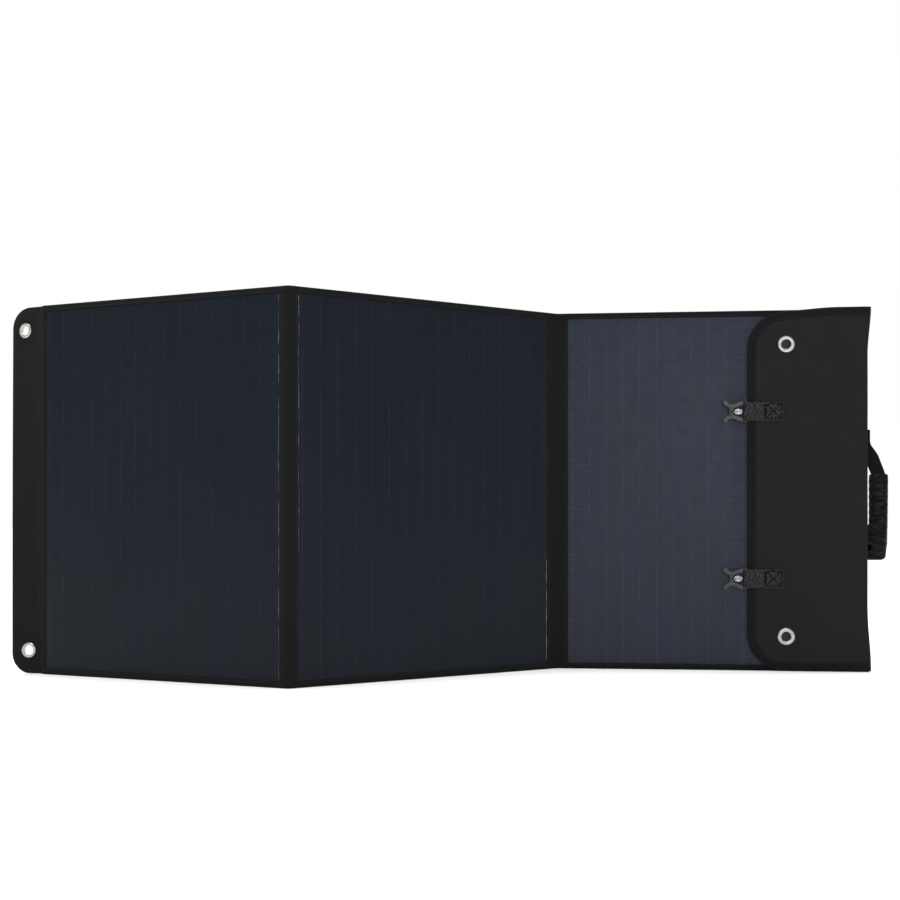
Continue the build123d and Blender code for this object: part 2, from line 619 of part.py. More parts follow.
with BuildPart() as junction_lid:
    with BuildSketch(THREE.face(-BOX_DEEP - BOX_LID)):
        with Locations(BOX_MID):
            RectangleRounded(thick(BOX_U), thick(BOX_V), BOX_CORNER)
    extrude(amount=BOX_LID)
    with BuildSketch(THREE.face(-BOX_DEEP - BOX_LID)):
        with Locations(BOX_MID):
            with GridLocations(*SCREW_GRID, 2, 2):
                Circle(SCREW_R)
    extrude(amount=BOX_LID, mode=Mode.SUBTRACT)
    with BuildSketch(THREE.face(-BOX_DEEP - BOX_LID)):
        with Locations(BOX_MID):
            with GridLocations(*SCREW_GRID, 2, 2):
                Circle(SCREW_HEAD_R)
    extrude(amount=SCREW_HEAD_T, mode=Mode.SUBTRACT)
save(junction_lid, "junction_lid")

with BuildPart() as junction_screws:
    for radius, high in ((SCREW_HEAD_R, SCREW_HEAD_T), (SCREW_R, SCREW_LONG + SCREW_HEAD_T)):
        with BuildSketch(THREE.face(-BOX_DEEP - BOX_LID)):
            with Locations(BOX_MID):
                with GridLocations(*SCREW_GRID, 2, 2):
                    Circle(radius)
        extrude(amount=high)
save(junction_screws, "junction_screws")

with BuildPart() as junction_circuit:
    with BuildSketch(THREE.face(CIRCUIT_W[0])):
        spread(CIRCUIT_U, CIRCUIT_V)
    extrude(amount=thick(CIRCUIT_W))
    with BuildSketch(THREE.face(CIRCUIT_W[0])):
        with Locations((sum(CIRCUIT_U) / 2, sum(CIRCUIT_V) / 2)):
            with GridLocations(18, 16, 3, 2):
                Rectangle(10, 6)
    extrude(amount=-3.2)
save(junction_circuit, "junction_circuit")

with BuildPart() as output_gland:
    with BuildSketch(THREE.plan(GLAND_V)):
        with BuildLine():
            wall, outside = BOX_U[1] - BOX_WALL, BOX_U[1]
            Polyline((wall - 2, GLAND_W + GLAND_BORE), (wall - 2, GLAND_W + GLAND_NECK + 1),
                     (wall, GLAND_W + GLAND_NECK + 1), (wall, GLAND_W + GLAND_NECK),
                     (outside, GLAND_W + GLAND_NECK), (outside, GLAND_W + GLAND_FLANGE - 0.5),
                     (outside + 2, GLAND_W + GLAND_FLANGE - 0.5),
                     (outside + 3, GLAND_W + GLAND_NECK + 1),
                     (outside + 16, GLAND_W + GLAND_BORE + 1.2),
                     (outside + 16, GLAND_W + GLAND_BORE), close=True)
        make_face()
    revolve(axis=Axis(THREE.point(0, GLAND_V, GLAND_W), THREE.along))
save(output_gland, "output_gland")

# ---- studs on the back of leaf 2 that the clips snap onto when the case is shut ------
KEEPER_U = SPINE_U[1] - (BAR_U - CLIP_TIP_S + KEEPER_BACK)
PATCH = 30.0
with BuildPart() as keeper_patches:
    with BuildSketch(TWO.face(-CLOTH)):
        with Locations(*[(KEEPER_U, middle) for middle in CLIP_V.values()]):
            RectangleRounded(PATCH, PATCH, 4)
    extrude(amount=CLOTH)
save(keeper_patches, "keeper_patches")

with BuildPart() as keeper_studs:
    low = -CLOTH
    for radius, high in ((STUD_BASE, 0.6), (STUD_NECK, 2.4), (STUD_HEAD, 0.8)):
        with BuildSketch(TWO.face(low)):
            with Locations(*[(KEEPER_U, middle) for middle in CLIP_V.values()]):
                Circle(radius)
        extrude(amount=-high)
        low -= high
save(keeper_studs, "keeper_studs")
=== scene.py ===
import json
import math

import bmesh
import bpy
import numpy as np
from mathutils import Matrix, Vector


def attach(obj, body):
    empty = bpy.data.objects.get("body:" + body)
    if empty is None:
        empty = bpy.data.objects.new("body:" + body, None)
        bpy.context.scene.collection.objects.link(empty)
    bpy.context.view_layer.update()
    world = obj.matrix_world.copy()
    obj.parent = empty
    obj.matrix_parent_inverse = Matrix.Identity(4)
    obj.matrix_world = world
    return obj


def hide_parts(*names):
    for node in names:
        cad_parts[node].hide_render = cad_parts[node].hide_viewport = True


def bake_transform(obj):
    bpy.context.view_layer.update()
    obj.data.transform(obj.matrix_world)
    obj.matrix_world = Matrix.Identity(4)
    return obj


# A three-leaf folding solar panel. Sizes are in millimetres in each leaf's own frame:
# u along the leaf to the right, v up, w out of its face. Meshes are written in metres.
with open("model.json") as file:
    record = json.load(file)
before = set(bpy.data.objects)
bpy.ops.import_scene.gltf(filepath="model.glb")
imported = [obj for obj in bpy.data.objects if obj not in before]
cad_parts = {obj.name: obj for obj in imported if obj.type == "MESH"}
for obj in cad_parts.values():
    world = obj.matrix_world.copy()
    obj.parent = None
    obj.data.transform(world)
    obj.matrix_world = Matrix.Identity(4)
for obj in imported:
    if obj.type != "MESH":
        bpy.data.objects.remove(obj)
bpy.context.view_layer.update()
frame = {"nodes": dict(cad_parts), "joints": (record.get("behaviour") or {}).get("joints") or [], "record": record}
JOINTS = {joint["name"]: joint for joint in frame["joints"]}
MM = 0.001
UP = np.array([0.0, 0.0, 1.0])

# ---- sizes of the case
CASE_H, LEAF_W = 485.0, 376.5
WINDOW_W, WINDOW_V = 355.0, (8.0, 477.0)
WINDOW_LEFT = {"leaf_1": -364.0, "leaf_2": 8.0, "leaf_3": 13.5}
FACE_W, FILM_W = 5.4, (4.0, 4.6)
CELL_PITCH = 22.9
TAPE, TAPE_WIDE = 0.6, 8.0
HIDDEN = 1.5                    # cloth ends this far inside the tape
CLOTH_SPAN, CLOTH_TALL = (HIDDEN, CASE_H - HIDDEN), 0.482   # CLOTH_TALL is in metres
AXIS_A_W, AXIS_B_W = -3.0, 10.4
OPEN_A = -JOINTS["fold_a"]["range_deg"][0]
OPEN_B = -JOINTS["fold_b"]["range_deg"][0]

TAIL_FOLD_U, TAIL_REACH, TAIL_CORNER = -369.0, (414.0, 422.0), 27.0
TAIL_TWIST, TAIL_HALF, TAIL_V = (12.0, -2.0), 1.2, (0.5, CASE_H - 0.5)
TAIL_SEAM_U, TAIL_HEM = -375.5, 4.5
LEAF_ONE_LEFT = TAIL_FOLD_U + 0.25
TAIL_EYELETS = [(-390.5, 31.0), (-400.0, 454.0)]
SPINE_U = (383.0, 414.5)
FLAP_LEFT, FLAP_CORNER, FLAP_V = 254.5, 50.0, (0.5, 482.5)
FLAP_W = (6.8, 7.5, 9.0, 9.8)
FLAP_TAPE, FLAP_TAPE_WIDE, FLAP_SEAM = 0.4, 12.0, 14.2
FLAP_EYELETS = [(305.8, 46.5), (305.8, 438.5)]
EYELET_BARREL = 7.1
CLIP_V = {"upper": 348.5, "lower": 124.0}
WEBBING, WEBBING_THICK, BAR_U, BAR_W, LOOP_RADIUS = 25.0, 1.1, 252.0, 11.4, 1.85
HANDLE_ROUTE = [(409.5, 324.0), (409.5, 302.0), (420.5, 287.0), (430.0, 262.0),
                (430.5, 172.0), (403.0, 163.0), (403.0, 94.0)]
HANDLE_BEND, HANDLE_WIDE, STRAP_W = 24.0, 18.0, (-4.6, -2.7)
HANDLE_ENDS = [(403.0, 106.0), (409.5, 311.0)]
GRIP_U, GRIP_V, GRIP_HALF_W, GRIP_MID_W = (417.9, 442.9), (149.0, 265.0), 6.2, -8.0
KEEPERS = [(189.5, v) for v in CLIP_V.values()]


# ---- leaf frames
class Leaf:
    """A leaf's frame, placed by the joint whose axis runs along its fold. Turn is in degrees."""

    def __init__(self, name, joint, axis_w, turn):
        self.name = name
        self.along = np.array([math.cos(math.radians(turn)), math.sin(math.radians(turn)), 0.0])
        self.out = np.cross(self.along, UP)
        self.axis = np.array(JOINTS[joint]["pos_m"]) * (1, 1, 0)
        self.origin = self.axis - self.out * axis_w * MM

    def points(self, u, v, w):
        u, v, w = (x[..., None] * MM for x in np.broadcast_arrays(u, v, w))
        return self.origin + u * self.along + v * UP + w * self.out

    def local(self, points):
        """The (u, v, w) of points, in metres."""
        away = points - self.origin
        return np.stack([away @ self.along, away @ UP, away @ self.out], -1)

    def window(self):
        left = WINDOW_LEFT[self.name]
        return left, left + WINDOW_W


ONE = Leaf("leaf_1", "fold_a", AXIS_A_W, OPEN_B - OPEN_A)
TWO = Leaf("leaf_2", "fold_a", AXIS_A_W, OPEN_B)
THREE = Leaf("leaf_3", "fold_b", AXIS_B_W, 0.0)


def ease(t):
    """Eases from 0 to 1 while t goes from 0 to 1."""
    t = np.clip(t, 0, 1)
    return t * t * (3 - 2 * t)


class Fold:
    """Cloth across a fold, laid out flat in the right leaf's frame and then bent about its axis.
    The bend is reach long on each side. The front strip lies between the two strips values, and
    flats, the cut widths of the front and back cloth in metres, are not used."""

    def __init__(self, name, left, right, turn, reach, strips, flats):
        self.name, self.left, self.right, self.turn = name, left, right, turn
        self.reach, self.strips, self.flats = reach, strips, flats

    def points(self, u, v, w):
        flat = self.right.points(u, v, w) - self.right.axis
        u = np.broadcast_to(u, flat.shape[:-1])
        angle = (1 - ease((u + self.reach) / (2 * self.reach))) * math.radians(self.turn)
        c, s = np.cos(angle), np.sin(angle)
        x, y = flat[..., 0], flat[..., 1]
        return np.stack([x * c - y * s, x * s + y * c, flat[..., 2]], -1) + self.right.axis

    def blend(self, obj):
        ends = [self.points(np.array(u), CASE_H / 2, FACE_W / 2) for u in (-self.reach, self.reach)]
        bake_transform(obj)


FOLD_A = Fold("fold_a", "leaf_1", TWO, -OPEN_A, 5.0, (-9.0, 8.0), (0.025, 0.027))
FOLD_B = Fold("fold_b", "leaf_2", THREE, OPEN_B, 7.0, (-13.5, 13.5), (0.031, 0.031))


# ---- mesh helpers
def link(obj):
    bpy.context.scene.collection.objects.link(obj)


def unit(vectors):
    return vectors / np.linalg.norm(vectors, axis=-1, keepdims=True)


def directions(path):
    return unit(np.gradient(path, axis=0))


def left_of(path):
    """Unit vectors to the left of a flat path."""
    run = directions(path)
    return np.stack([-run[:, 1], run[:, 0]], -1)


def cloth_metres(u, v, w):
    """Cloth coordinates, which a material's threads and ribs follow."""
    return np.stack(np.broadcast_arrays(u, v, w), -1) * MM


def grid_faces(rows, columns, start=0, flip=False):
    i, j = np.meshgrid(np.arange(rows - 1), np.arange(columns - 1), indexing="ij")
    a = (start + i * columns + j).reshape(-1)
    quads = np.stack([a, a + 1, a + columns + 1, a + columns], -1)
    return (quads[:, ::-1] if flip else quads).tolist()


def sheet_solid(front, back, cloth):
    """A closed sheet from two grids of points, with a rim between them."""
    rows, columns = front.shape[:2]
    count = rows * columns
    index = np.arange(count).reshape(rows, columns)
    rim = np.concatenate([index[0], index[1:, -1], index[-1, -2::-1], index[-2:0:-1, 0]])
    after = np.roll(rim, -1)
    faces = grid_faces(rows, columns) + grid_faces(rows, columns, count, True)
    faces += np.stack([after, rim, rim + count, after + count], -1).tolist()
    points = np.concatenate([front.reshape(-1, 3), back.reshape(-1, 3)])
    return points, faces, np.concatenate([cloth.reshape(-1, 3)] * 2)


def ring_solid(rings, cloth):
    """A closed solid through rings of points, each ring a closed outline."""
    count, size = rings.shape[:2]
    i, j = np.meshgrid(np.arange(count - 1), np.arange(size), indexing="ij")
    a, b = i * size + j, i * size + (j + 1) % size
    faces = np.stack([a, b, b + size, a + size], -1).reshape(-1, 4).tolist()
    faces.append(list(range(size))[::-1])
    faces.append(list(range((count - 1) * size, count * size)))
    return rings.reshape(-1, 3), faces, cloth.reshape(-1, 3)


def lengths(path):
    """The distance of each of a polyline's points from its start, along it."""
    return np.concatenate([[0], np.cumsum(np.linalg.norm(np.diff(path, axis=0), axis=1))])


def along_path(path, length, at):
    """The points at some distances along a polyline whose own points are at length."""
    return np.stack([np.interp(at, length, axis) for axis in path.T], -1)


def sew(name, solids, body, material=None):
    """Rows of stitches, as one object that rides on a body."""
    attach(piece(name, solids, material or THREAD), body)


def stitch_solid(path, out, long=2.3, gap=1.1, radius=0.26):
    """A row of sewn stitches along a path in metres, on cloth that faces out."""
    long, pitch, radius = long * MM, (long + gap) * MM, radius * MM
    length = lengths(path)
    at = (np.arange(int(length[-1] / pitch)) + 0.5) * pitch
    middle = along_path(path, length, at)
    run = unit(along_path(path, length, at + long / 2) - along_path(path, length, at - long / 2))
    side = unit(np.cross(out, run))
    reach = np.array([-0.5, -0.32, 0.32, 0.5]) * long
    fat = np.array([0.4, 1.0, 1.0, 0.4]) * radius
    lift = np.array([-0.8, 0.25, 0.25, -0.8]) * radius
    sides = 6
    angle = np.arange(sides) * math.tau / sides
    around = side[:, None, None] * np.cos(angle)[:, None] + out * np.sin(angle)[:, None]
    points = (middle[:, None, None] + run[:, None, None] * reach[:, None, None]
              + out * lift[:, None, None] + around * fat[:, None, None])
    corners, last = list(range(len(reach) * sides)), (len(reach) - 1) * sides
    walls = [[r + k, r + (k + 1) % sides, r + sides + (k + 1) % sides, r + sides + k]
             for r in range(0, last, sides) for k in range(sides)]
    stitch = walls + [corners[:sides][::-1], corners[last:]]
    faces = [[first + corner for corner in face]
             for first in range(0, len(middle) * len(corners), len(corners)) for face in stitch]
    points = points.reshape(-1, 3)
    return points, faces, points


def piece(name, solids, material, replaces=(), smooth=38):
    """One object from closed solids, each a (points, faces, cloth coordinates) triple."""
    points, faces, cloth, start = [], [], [], 0
    for part, part_faces, part_cloth in solids:
        points.append(part)
        cloth.append(part_cloth)
        faces += [[start + corner for corner in face] for face in part_faces]
        start += len(part)
    mesh = bpy.data.meshes.new(name)
    mesh.from_pydata(np.concatenate(points).tolist(), [], faces)
    shell = bmesh.new()
    shell.from_mesh(mesh)
    bmesh.ops.recalc_face_normals(shell, faces=shell.faces)
    shell.to_mesh(mesh)
    shell.free()
    write_cloth(mesh, np.concatenate(cloth))
    mesh.shade_smooth()
    mesh.set_sharp_from_angle(angle=math.radians(smooth))
    obj = bpy.data.objects.new(name, mesh)
    link(obj)
    mesh.materials.append(material)
    if replaces:
        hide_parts(*replaces)
    return obj


def write_cloth(mesh, cloth):
    """Stores a mesh's cloth coordinates."""
    attribute = mesh.attributes.get("cloth") or mesh.attributes.new("cloth", "FLOAT_VECTOR", "POINT")
    attribute.data.foreach_set("vector", np.asarray(cloth, np.float32).ravel())


def cut_holes(obj, leaf, places, radius):
    """Cuts round holes through a cloth piece, and rewrites its cloth coordinates."""
    drills = bmesh.new()
    turn = Matrix([leaf.along, UP, leaf.out]).transposed().to_4x4()
    for place in places:
        bmesh.ops.create_cone(drills, cap_ends=True, segments=32, radius1=radius * MM,
                              radius2=radius * MM, depth=0.04,
                              matrix=Matrix.Translation(Vector(place)) @ turn)
    mesh = bpy.data.meshes.new("drills")
    drills.to_mesh(mesh)
    drills.free()
    tool = bpy.data.objects.new("drills", mesh)
    link(tool)
    cut = obj.modifiers.new("holes", "BOOLEAN")
    cut.operation, cut.solver, cut.object = "DIFFERENCE", "EXACT", tool
    bpy.context.view_layer.update()
    graph = bpy.context.evaluated_depsgraph_get()
    made = bpy.data.meshes.new_from_object(obj.evaluated_get(graph))
    obj.modifiers.clear()
    obj.data = made
    bpy.data.objects.remove(tool)
    points = np.array([vertex.co for vertex in made.vertices], float)
    write_cloth(made, leaf.local(points))


def waves(u, v, seed, length, height, stretch=1.0, count=7):
    """A smooth random relief with features about length long, stretched along v."""
    rng = np.random.default_rng(seed)
    total = 0.0
    for _ in range(count):
        angle, phase = rng.uniform(0, math.tau, 2)
        k = math.tau / (length * rng.uniform(0.7, 1.5))
        total = total + np.cos(k * (u * math.cos(angle) + v * math.sin(angle) / stretch) + phase)
    return total * height / count ** 0.5


def rounded(route, radius, steps=9):
    """The route's polyline with each corner rounded by a curve of about that radius."""
    route = [np.array(point, float) for point in route]
    path = [route[0]]
    for before, corner, after in zip(route, route[1:], route[2:]):
        come, go = corner - before, after - corner
        come, go = come / np.linalg.norm(come), go / np.linalg.norm(go)
        reach = radius * math.tan(math.acos(np.clip(come @ go, -1, 1)) / 2)
        for t in np.linspace(0, 1, steps):
            path.append((1 - t) ** 2 * (corner - come * reach) + 2 * t * (1 - t) * corner
                        + t * t * (corner + go * reach))
    path.append(route[-1])
    return np.array(path)


def resample(path, step):
    """A polyline's points at even steps, and their distances along it."""
    length = lengths(path)
    at = np.linspace(0, length[-1], max(2, int(length[-1] / step) + 1))
    return along_path(path, length, at), at


# ---- materials
class Nodes:
    """Short ways to add nodes to a tree. An input is another node's output or a plain value."""

    def __init__(self, tree):
        self.tree = tree

    def node(self, kind, inputs=(), **settings):
        made = self.tree.nodes.new(kind)
        for key, value in settings.items():
            setattr(made, key, value)
        for key, value in dict(inputs).items():
            self.put(value, made.inputs[key])
        return made

    def put(self, value, socket):
        if isinstance(value, bpy.types.NodeSocket):
            self.tree.links.new(value, socket)
        else:
            socket.default_value = value

    def math(self, operation, a, b=0.0, c=0.0):
        return self.node("ShaderNodeMath", {0: a, 1: b, 2: c}, operation=operation).outputs[0]

    def times(self, a, b, plus=None):
        if plus is None:
            return self.math("MULTIPLY", a, b)
        return self.math("MULTIPLY_ADD", a, b, plus)

    def span(self, value, low, high, start=0.0, stop=1.0):
        """Maps low..high to start..stop, and holds it there beyond."""
        return self.node("ShaderNodeMapRange", {"Value": value, "From Min": low, "From Max": high,
                                                "To Min": start, "To Max": stop}).outputs["Result"]


class Paint(Nodes):
    """A Principled material, with noise, waves and mixes of its colour."""

    def __init__(self, name, colour=(1, 1, 1), coordinates="cloth"):
        self.material = bpy.data.materials.new(name)
        self.material.use_nodes = True
        super().__init__(self.material.node_tree)
        self.colour = colour
        if coordinates == "cloth":
            self.place = self.node("ShaderNodeAttribute", attribute_name="cloth").outputs["Vector"]
        else:
            self.place = self.node("ShaderNodeTexCoord").outputs["Object"]

    def noise(self, size, detail=3.0, rough=0.55, warp=0.0):
        """Noise with size features in a metre, or a size of its own along each of u, v and w."""
        size = size if isinstance(size, tuple) else (size,) * 3
        place = self.node("ShaderNodeVectorMath", {0: self.place, 1: size}, operation="MULTIPLY")
        sockets = {"Vector": place.outputs[0], "Scale": 1.0, "Detail": detail, "Roughness": rough,
                   "Distortion": warp}
        return self.node("ShaderNodeTexNoise", sockets).outputs["Fac"]

    def mix(self, share, a, b):
        """Colour a where share is 0 and b where it is 1. Each is a socket, an (r, g, b), or a
        number that multiplies the material's own colour."""
        made = self.node("ShaderNodeMix", {0: share}, data_type="RGBA")
        for value, socket in ((a, made.inputs[6]), (b, made.inputs[7])):
            if isinstance(value, float):
                value = tuple(channel * value for channel in self.colour)
            self.put((*value, 1.0) if isinstance(value, tuple) else value, socket)
        return made.outputs[2]

    def ridges(self, noise, power):
        """Sharp lines where the noise passes through its middle."""
        away = self.math("ABSOLUTE", self.math("SUBTRACT", noise, 0.5))
        return self.math("POWER", away, power)

    def waves_of(self, pitch, axis):
        """A sine wave across the surface, once every pitch metres along u (0) or v (1)."""
        parts = self.node("ShaderNodeSeparateXYZ", {0: self.place})
        return self.math("SINE", self.times(parts.outputs[axis], math.tau / pitch))

    def finish(self, colour, roughness, height=None, depth=0.0002, strength=0.5, **sockets):
        """Joins the shader up. Sockets are its other inputs, named in lower case."""
        inputs = self.tree.nodes["Principled BSDF"].inputs
        self.put(colour, inputs["Base Color"])
        self.put(roughness, inputs["Roughness"])
        if height is not None:
            bump = self.node("ShaderNodeBump", {"Height": height, "Strength": strength,
                                                "Distance": depth})
            self.put(bump.outputs["Normal"], inputs["Normal"])
        for name, value in sockets.items():
            inputs[name.replace("_", " ").title().replace("Ior", "IOR")].default_value = value
        return self.material


def woven(name, colour, thread=0.00075, dust=0.15):
    """Plain-woven cloth: over-and-under threads, uneven dye and a little dust."""
    paint = Paint(name, colour)
    knots = paint.times(paint.waves_of(thread, 0), paint.waves_of(thread, 1))
    fuzz = paint.noise(2600.0, 2.0)
    height = paint.times(knots, 0.5, paint.times(fuzz, 0.5))
    cloud = paint.noise(24.0, 4.0)
    tone = paint.mix(paint.span(cloud, 0.3, 0.7), 0.86, 1.12)
    tone = paint.mix(paint.span(knots, -1, 1, 0.0, 0.35), tone, 0.55)
    lint = paint.span(paint.noise(900.0, 1.0), 0.72, 0.8, 0.0, dust)
    tone = paint.mix(lint, tone, 3.2)
    return paint.finish(tone, paint.span(cloud, 0.2, 0.8, 0.78, 0.94), height, 0.00016, 0.6,
                        sheen_weight=0.03, sheen_roughness=0.5, specular_ior_level=0.12)


def gathered(name, colour):
    """Thin cloth in tight folds, with painted shade in their creases and painted highlights on their crowns."""
    paint = Paint(name, colour)
    weave = paint.times(paint.waves_of(0.0006, 0), paint.waves_of(0.0006, 1))
    bend = paint.node("ShaderNodeNewGeometry").outputs["Pointiness"]
    highlight_streaks = paint.span(paint.noise((42.0, 42.0, 165.0), 2.5, 0.6, 1.6), 0.4, 0.62)
    # Painted shade and highlight: creases are darkened and fold crowns lightened in the colour, streaked by noise.
    painted_light_share = paint.times(paint.span(bend, 0.42, 0.56, 0.25), highlight_streaks)
    tone = paint.mix(painted_light_share, 0.1, 4.2)
    rough = paint.span(paint.noise(60.0, 3.0), 0.3, 0.7, 0.5, 0.65)
    return paint.finish(tone, rough, weave, 0.0001, 0.5, sheen_weight=0.02, specular_ior_level=0.08)


def ribbed(name, colour, rib=0.0011, depth=0.00018, heather=0.0, axis=0):
    """Narrow tape or webbing: ribs across its length, crossed by fine threads."""
    paint = Paint(name, colour)
    ribs = paint.waves_of(rib, axis)
    threads = paint.waves_of(rib * 0.62, 1 - axis)
    height = paint.times(ribs, 0.6, paint.times(threads, 0.35))
    speckle = paint.noise((420.0, 330.0, 330.0), 2.0, 0.8)
    tone = paint.mix(paint.span(ribs, -1, 1), 0.7, 1.1)
    tone = paint.mix(paint.span(speckle, 0.5, 0.6, 0.0, heather), tone, 4.2)
    tone = paint.mix(paint.span(paint.noise(30.0), 0.3, 0.7, 0.0, 0.3), tone, 0.7)
    return paint.finish(tone, paint.span(speckle, 0.2, 0.8, 0.72, 0.92), height, depth, 0.65,
                        sheen_weight=0.03, sheen_roughness=0.5, specular_ior_level=0.12)


def thread(name, colour, sheen):
    """Twisted sewing thread."""
    paint = Paint(name, colour)
    twist = paint.noise(3000.0, 2.0)
    tone = paint.mix(twist, 0.7, 1.4)
    return paint.finish(tone, 0.62, twist, 0.00008, 0.4, sheen_weight=sheen, specular_ior_level=0.15)


def laminate(name, colour, middle, wrinkle, gloss, puckers=()):
    """Dark front film over cell strips: seams between strips, embossed skin and wrinkles.
    A seam runs along u = middle. Puckers are pairs of u, in mm, between which short creases grow
    from none to full, with painted highlights on their crests."""
    paint = Paint(name, colour)
    parts = paint.node("ShaderNodeSeparateXYZ", {0: paint.place})
    strips = paint.times(parts.outputs[0], 1 / (CELL_PITCH * MM), 0.5 - middle / CELL_PITCH)
    seam = paint.math("PINGPONG", strips, 0.5)
    line = paint.span(seam, 0.009, 0.026, 1.0, 0.0)
    broken = paint.span(paint.noise((90.0, 14.0, 1.0), 3.0), 0.35, 0.6, 0.35, 1.0)
    line = paint.times(line, broken)
    cloud = paint.noise((11.0, 5.0, 1.0), 4.0)
    strip_tone = paint.node("ShaderNodeTexWhiteNoise", {"W": paint.math("FLOOR", strips)},
                            noise_dimensions="1D").outputs["Value"]
    tone = paint.mix(paint.span(cloud, 0.3, 0.7), 0.92, 1.08)
    warmer = (colour[0] * 1.15, colour[1] * 1.1, colour[2])
    tone = paint.mix(paint.times(strip_tone, 0.35), tone, warmer)
    tone = paint.mix(paint.times(line, 0.6), tone, 2.6)
    peel = paint.noise(330.0, 2.0)
    emboss = paint.noise(1300.0, 1.0)
    creases = paint.ridges(paint.noise((22.0, 95.0, 1.0), 3.0, 0.5, 1.6), 0.6)
    height = paint.times(peel, 0.35, paint.times(emboss, 0.12))
    height = paint.times(creases, -wrinkle, height)
    height = paint.times(line, 0.25, height)
    for start, full in puckers:
        share = paint.span(parts.outputs[0], start * MM, full * MM)
        crinkle = paint.noise((70.0, 420.0, 1.0), 3.0, 0.6, 0.8)
        ridge = paint.times(share, paint.ridges(crinkle, 0.7))
        height = paint.times(ridge, -2.2, height)
        # Painted highlight: the crinkles' crests are lightened in the colour.
        painted_glint = paint.times(share, paint.span(crinkle, 0.52, 0.66, 0.0, 0.3))
        tone = paint.mix(painted_glint, tone, 3.4)
    rough = paint.span(paint.noise(60.0, 4.0), 0.3, 0.7, 0.3, 0.42)
    return paint.finish(tone, rough, height, 0.0006, 0.4, specular_ior_level=gloss)


def clear_edge(name):
    """The film's cut edge and the glue beside it, with painted highlights in patches along them."""
    paint = Paint(name)
    patches = paint.noise((40.0, 130.0, 1.0), 4.0, 0.7)
    # Painted highlight: the lighter patches stand in for glints on the clear edge.
    tone = paint.mix(paint.span(patches, 0.42, 0.62), (0.035, 0.042, 0.05), (0.16, 0.17, 0.175))
    return paint.finish(tone, 0.28, patches, 0.0003, 0.5, specular_ior_level=0.5)


def plastic(name, colour, grain=1500.0, depth=0.00005, rough=(0.38, 0.55)):
    """Moulded plastic: fine grain, uneven gloss and a painted highlight on its sharp edges."""
    paint = Paint(name, colour, "object")
    pits = paint.noise(grain, 2.0)
    cloud = paint.noise(70.0, 4.0)
    tone = paint.mix(paint.span(cloud, 0.3, 0.7), 0.85, 1.15)
    # Painted highlight: sharp convex edges are lightened in the colour.
    edge_highlight_pointiness = paint.node("ShaderNodeNewGeometry").outputs["Pointiness"]
    tone = paint.mix(paint.span(edge_highlight_pointiness, 0.51, 0.6, 0.0, 0.4), tone, 2.2)
    return paint.finish(tone, paint.span(cloud, 0.3, 0.7, *rough), pits, depth, 0.5,
                        specular_ior_level=0.45)


def metal(name, colour, rough=(0.2, 0.36), scratch=(500.0, 2600.0, 500.0)):
    """Plated or drawn metal with fine scratches and dull patches."""
    paint = Paint(name, colour, "object")
    scratches = paint.noise(scratch, 4.0, 0.6)
    cloud = paint.noise(160.0, 3.0)
    tone = paint.mix(paint.span(cloud, 0.35, 0.7), 1.0, 0.82)
    return paint.finish(tone, paint.span(scratches, 0.3, 0.7, *rough), scratches, 0.00004, 0.35,
                        metallic=1.0)


def plain_grain(name, colour, rough=0.7, size=400.0):
    """Hidden sheets: boards, backings and foam."""
    paint = Paint(name, colour, "object")
    grain = paint.noise(size, 4.0)
    tone = paint.mix(grain, 0.85, 1.12)
    return paint.finish(tone, rough, grain, 0.0001, 0.4)


CASE_CLOTH = woven("case_cloth", (0.0115, 0.0119, 0.0136))
TAIL_CLOTH = woven("tail_cloth", (0.0062, 0.0066, 0.0072))
FACE_CLOTH = woven("face_cloth", (0.0066, 0.0066, 0.0072), thread=0.0006, dust=0.1)
SLEEVE_CLOTH = gathered("sleeve_cloth", (0.0040, 0.0043, 0.0050))
LINING_CLOTH = woven("lining_cloth", (0.011, 0.0117, 0.0125), thread=0.0005, dust=0.1)
BINDING = ribbed("binding_tape", (0.0056, 0.0053, 0.0052))
WEB = ribbed("webbing", (0.0145, 0.0142, 0.0147), rib=0.0017, depth=0.00035, heather=1.0)
STRAP = ribbed("handle_webbing", (0.0026, 0.0029, 0.0033), rib=0.0015, depth=0.0003, axis=1)
THREAD = thread("cloth_thread", (0.014, 0.014, 0.0145), 0.15)
BLACK_THREAD = thread("black_thread", (0.0022, 0.0022, 0.0022), 0.0)
# Leaf 3's film colour is a lighter copy of the navy: painted reflection, standing in for the sheen that film
# catches.
NAVY, NAVY_PAINTED_SHEEN = (0.0066, 0.0094, 0.0142), (0.0150, 0.0184, 0.0305)
FILMS = {"leaf_1": laminate("front_film_1", NAVY, -186.5, 0.3, 0.1),
         "leaf_2": laminate("front_film_2", NAVY, 185.5, 0.4, 0.1, [(14, 0), (352, 366)]),
         "leaf_3": laminate("front_film_3", NAVY_PAINTED_SHEEN, 191.0, 0.6, 0.15, [(62, 16), (222, 254)])}
FILM_EDGE = clear_edge("film_edge")
STEEL = metal("bright_steel", (0.66, 0.66, 0.69), rough=(0.12, 0.28))
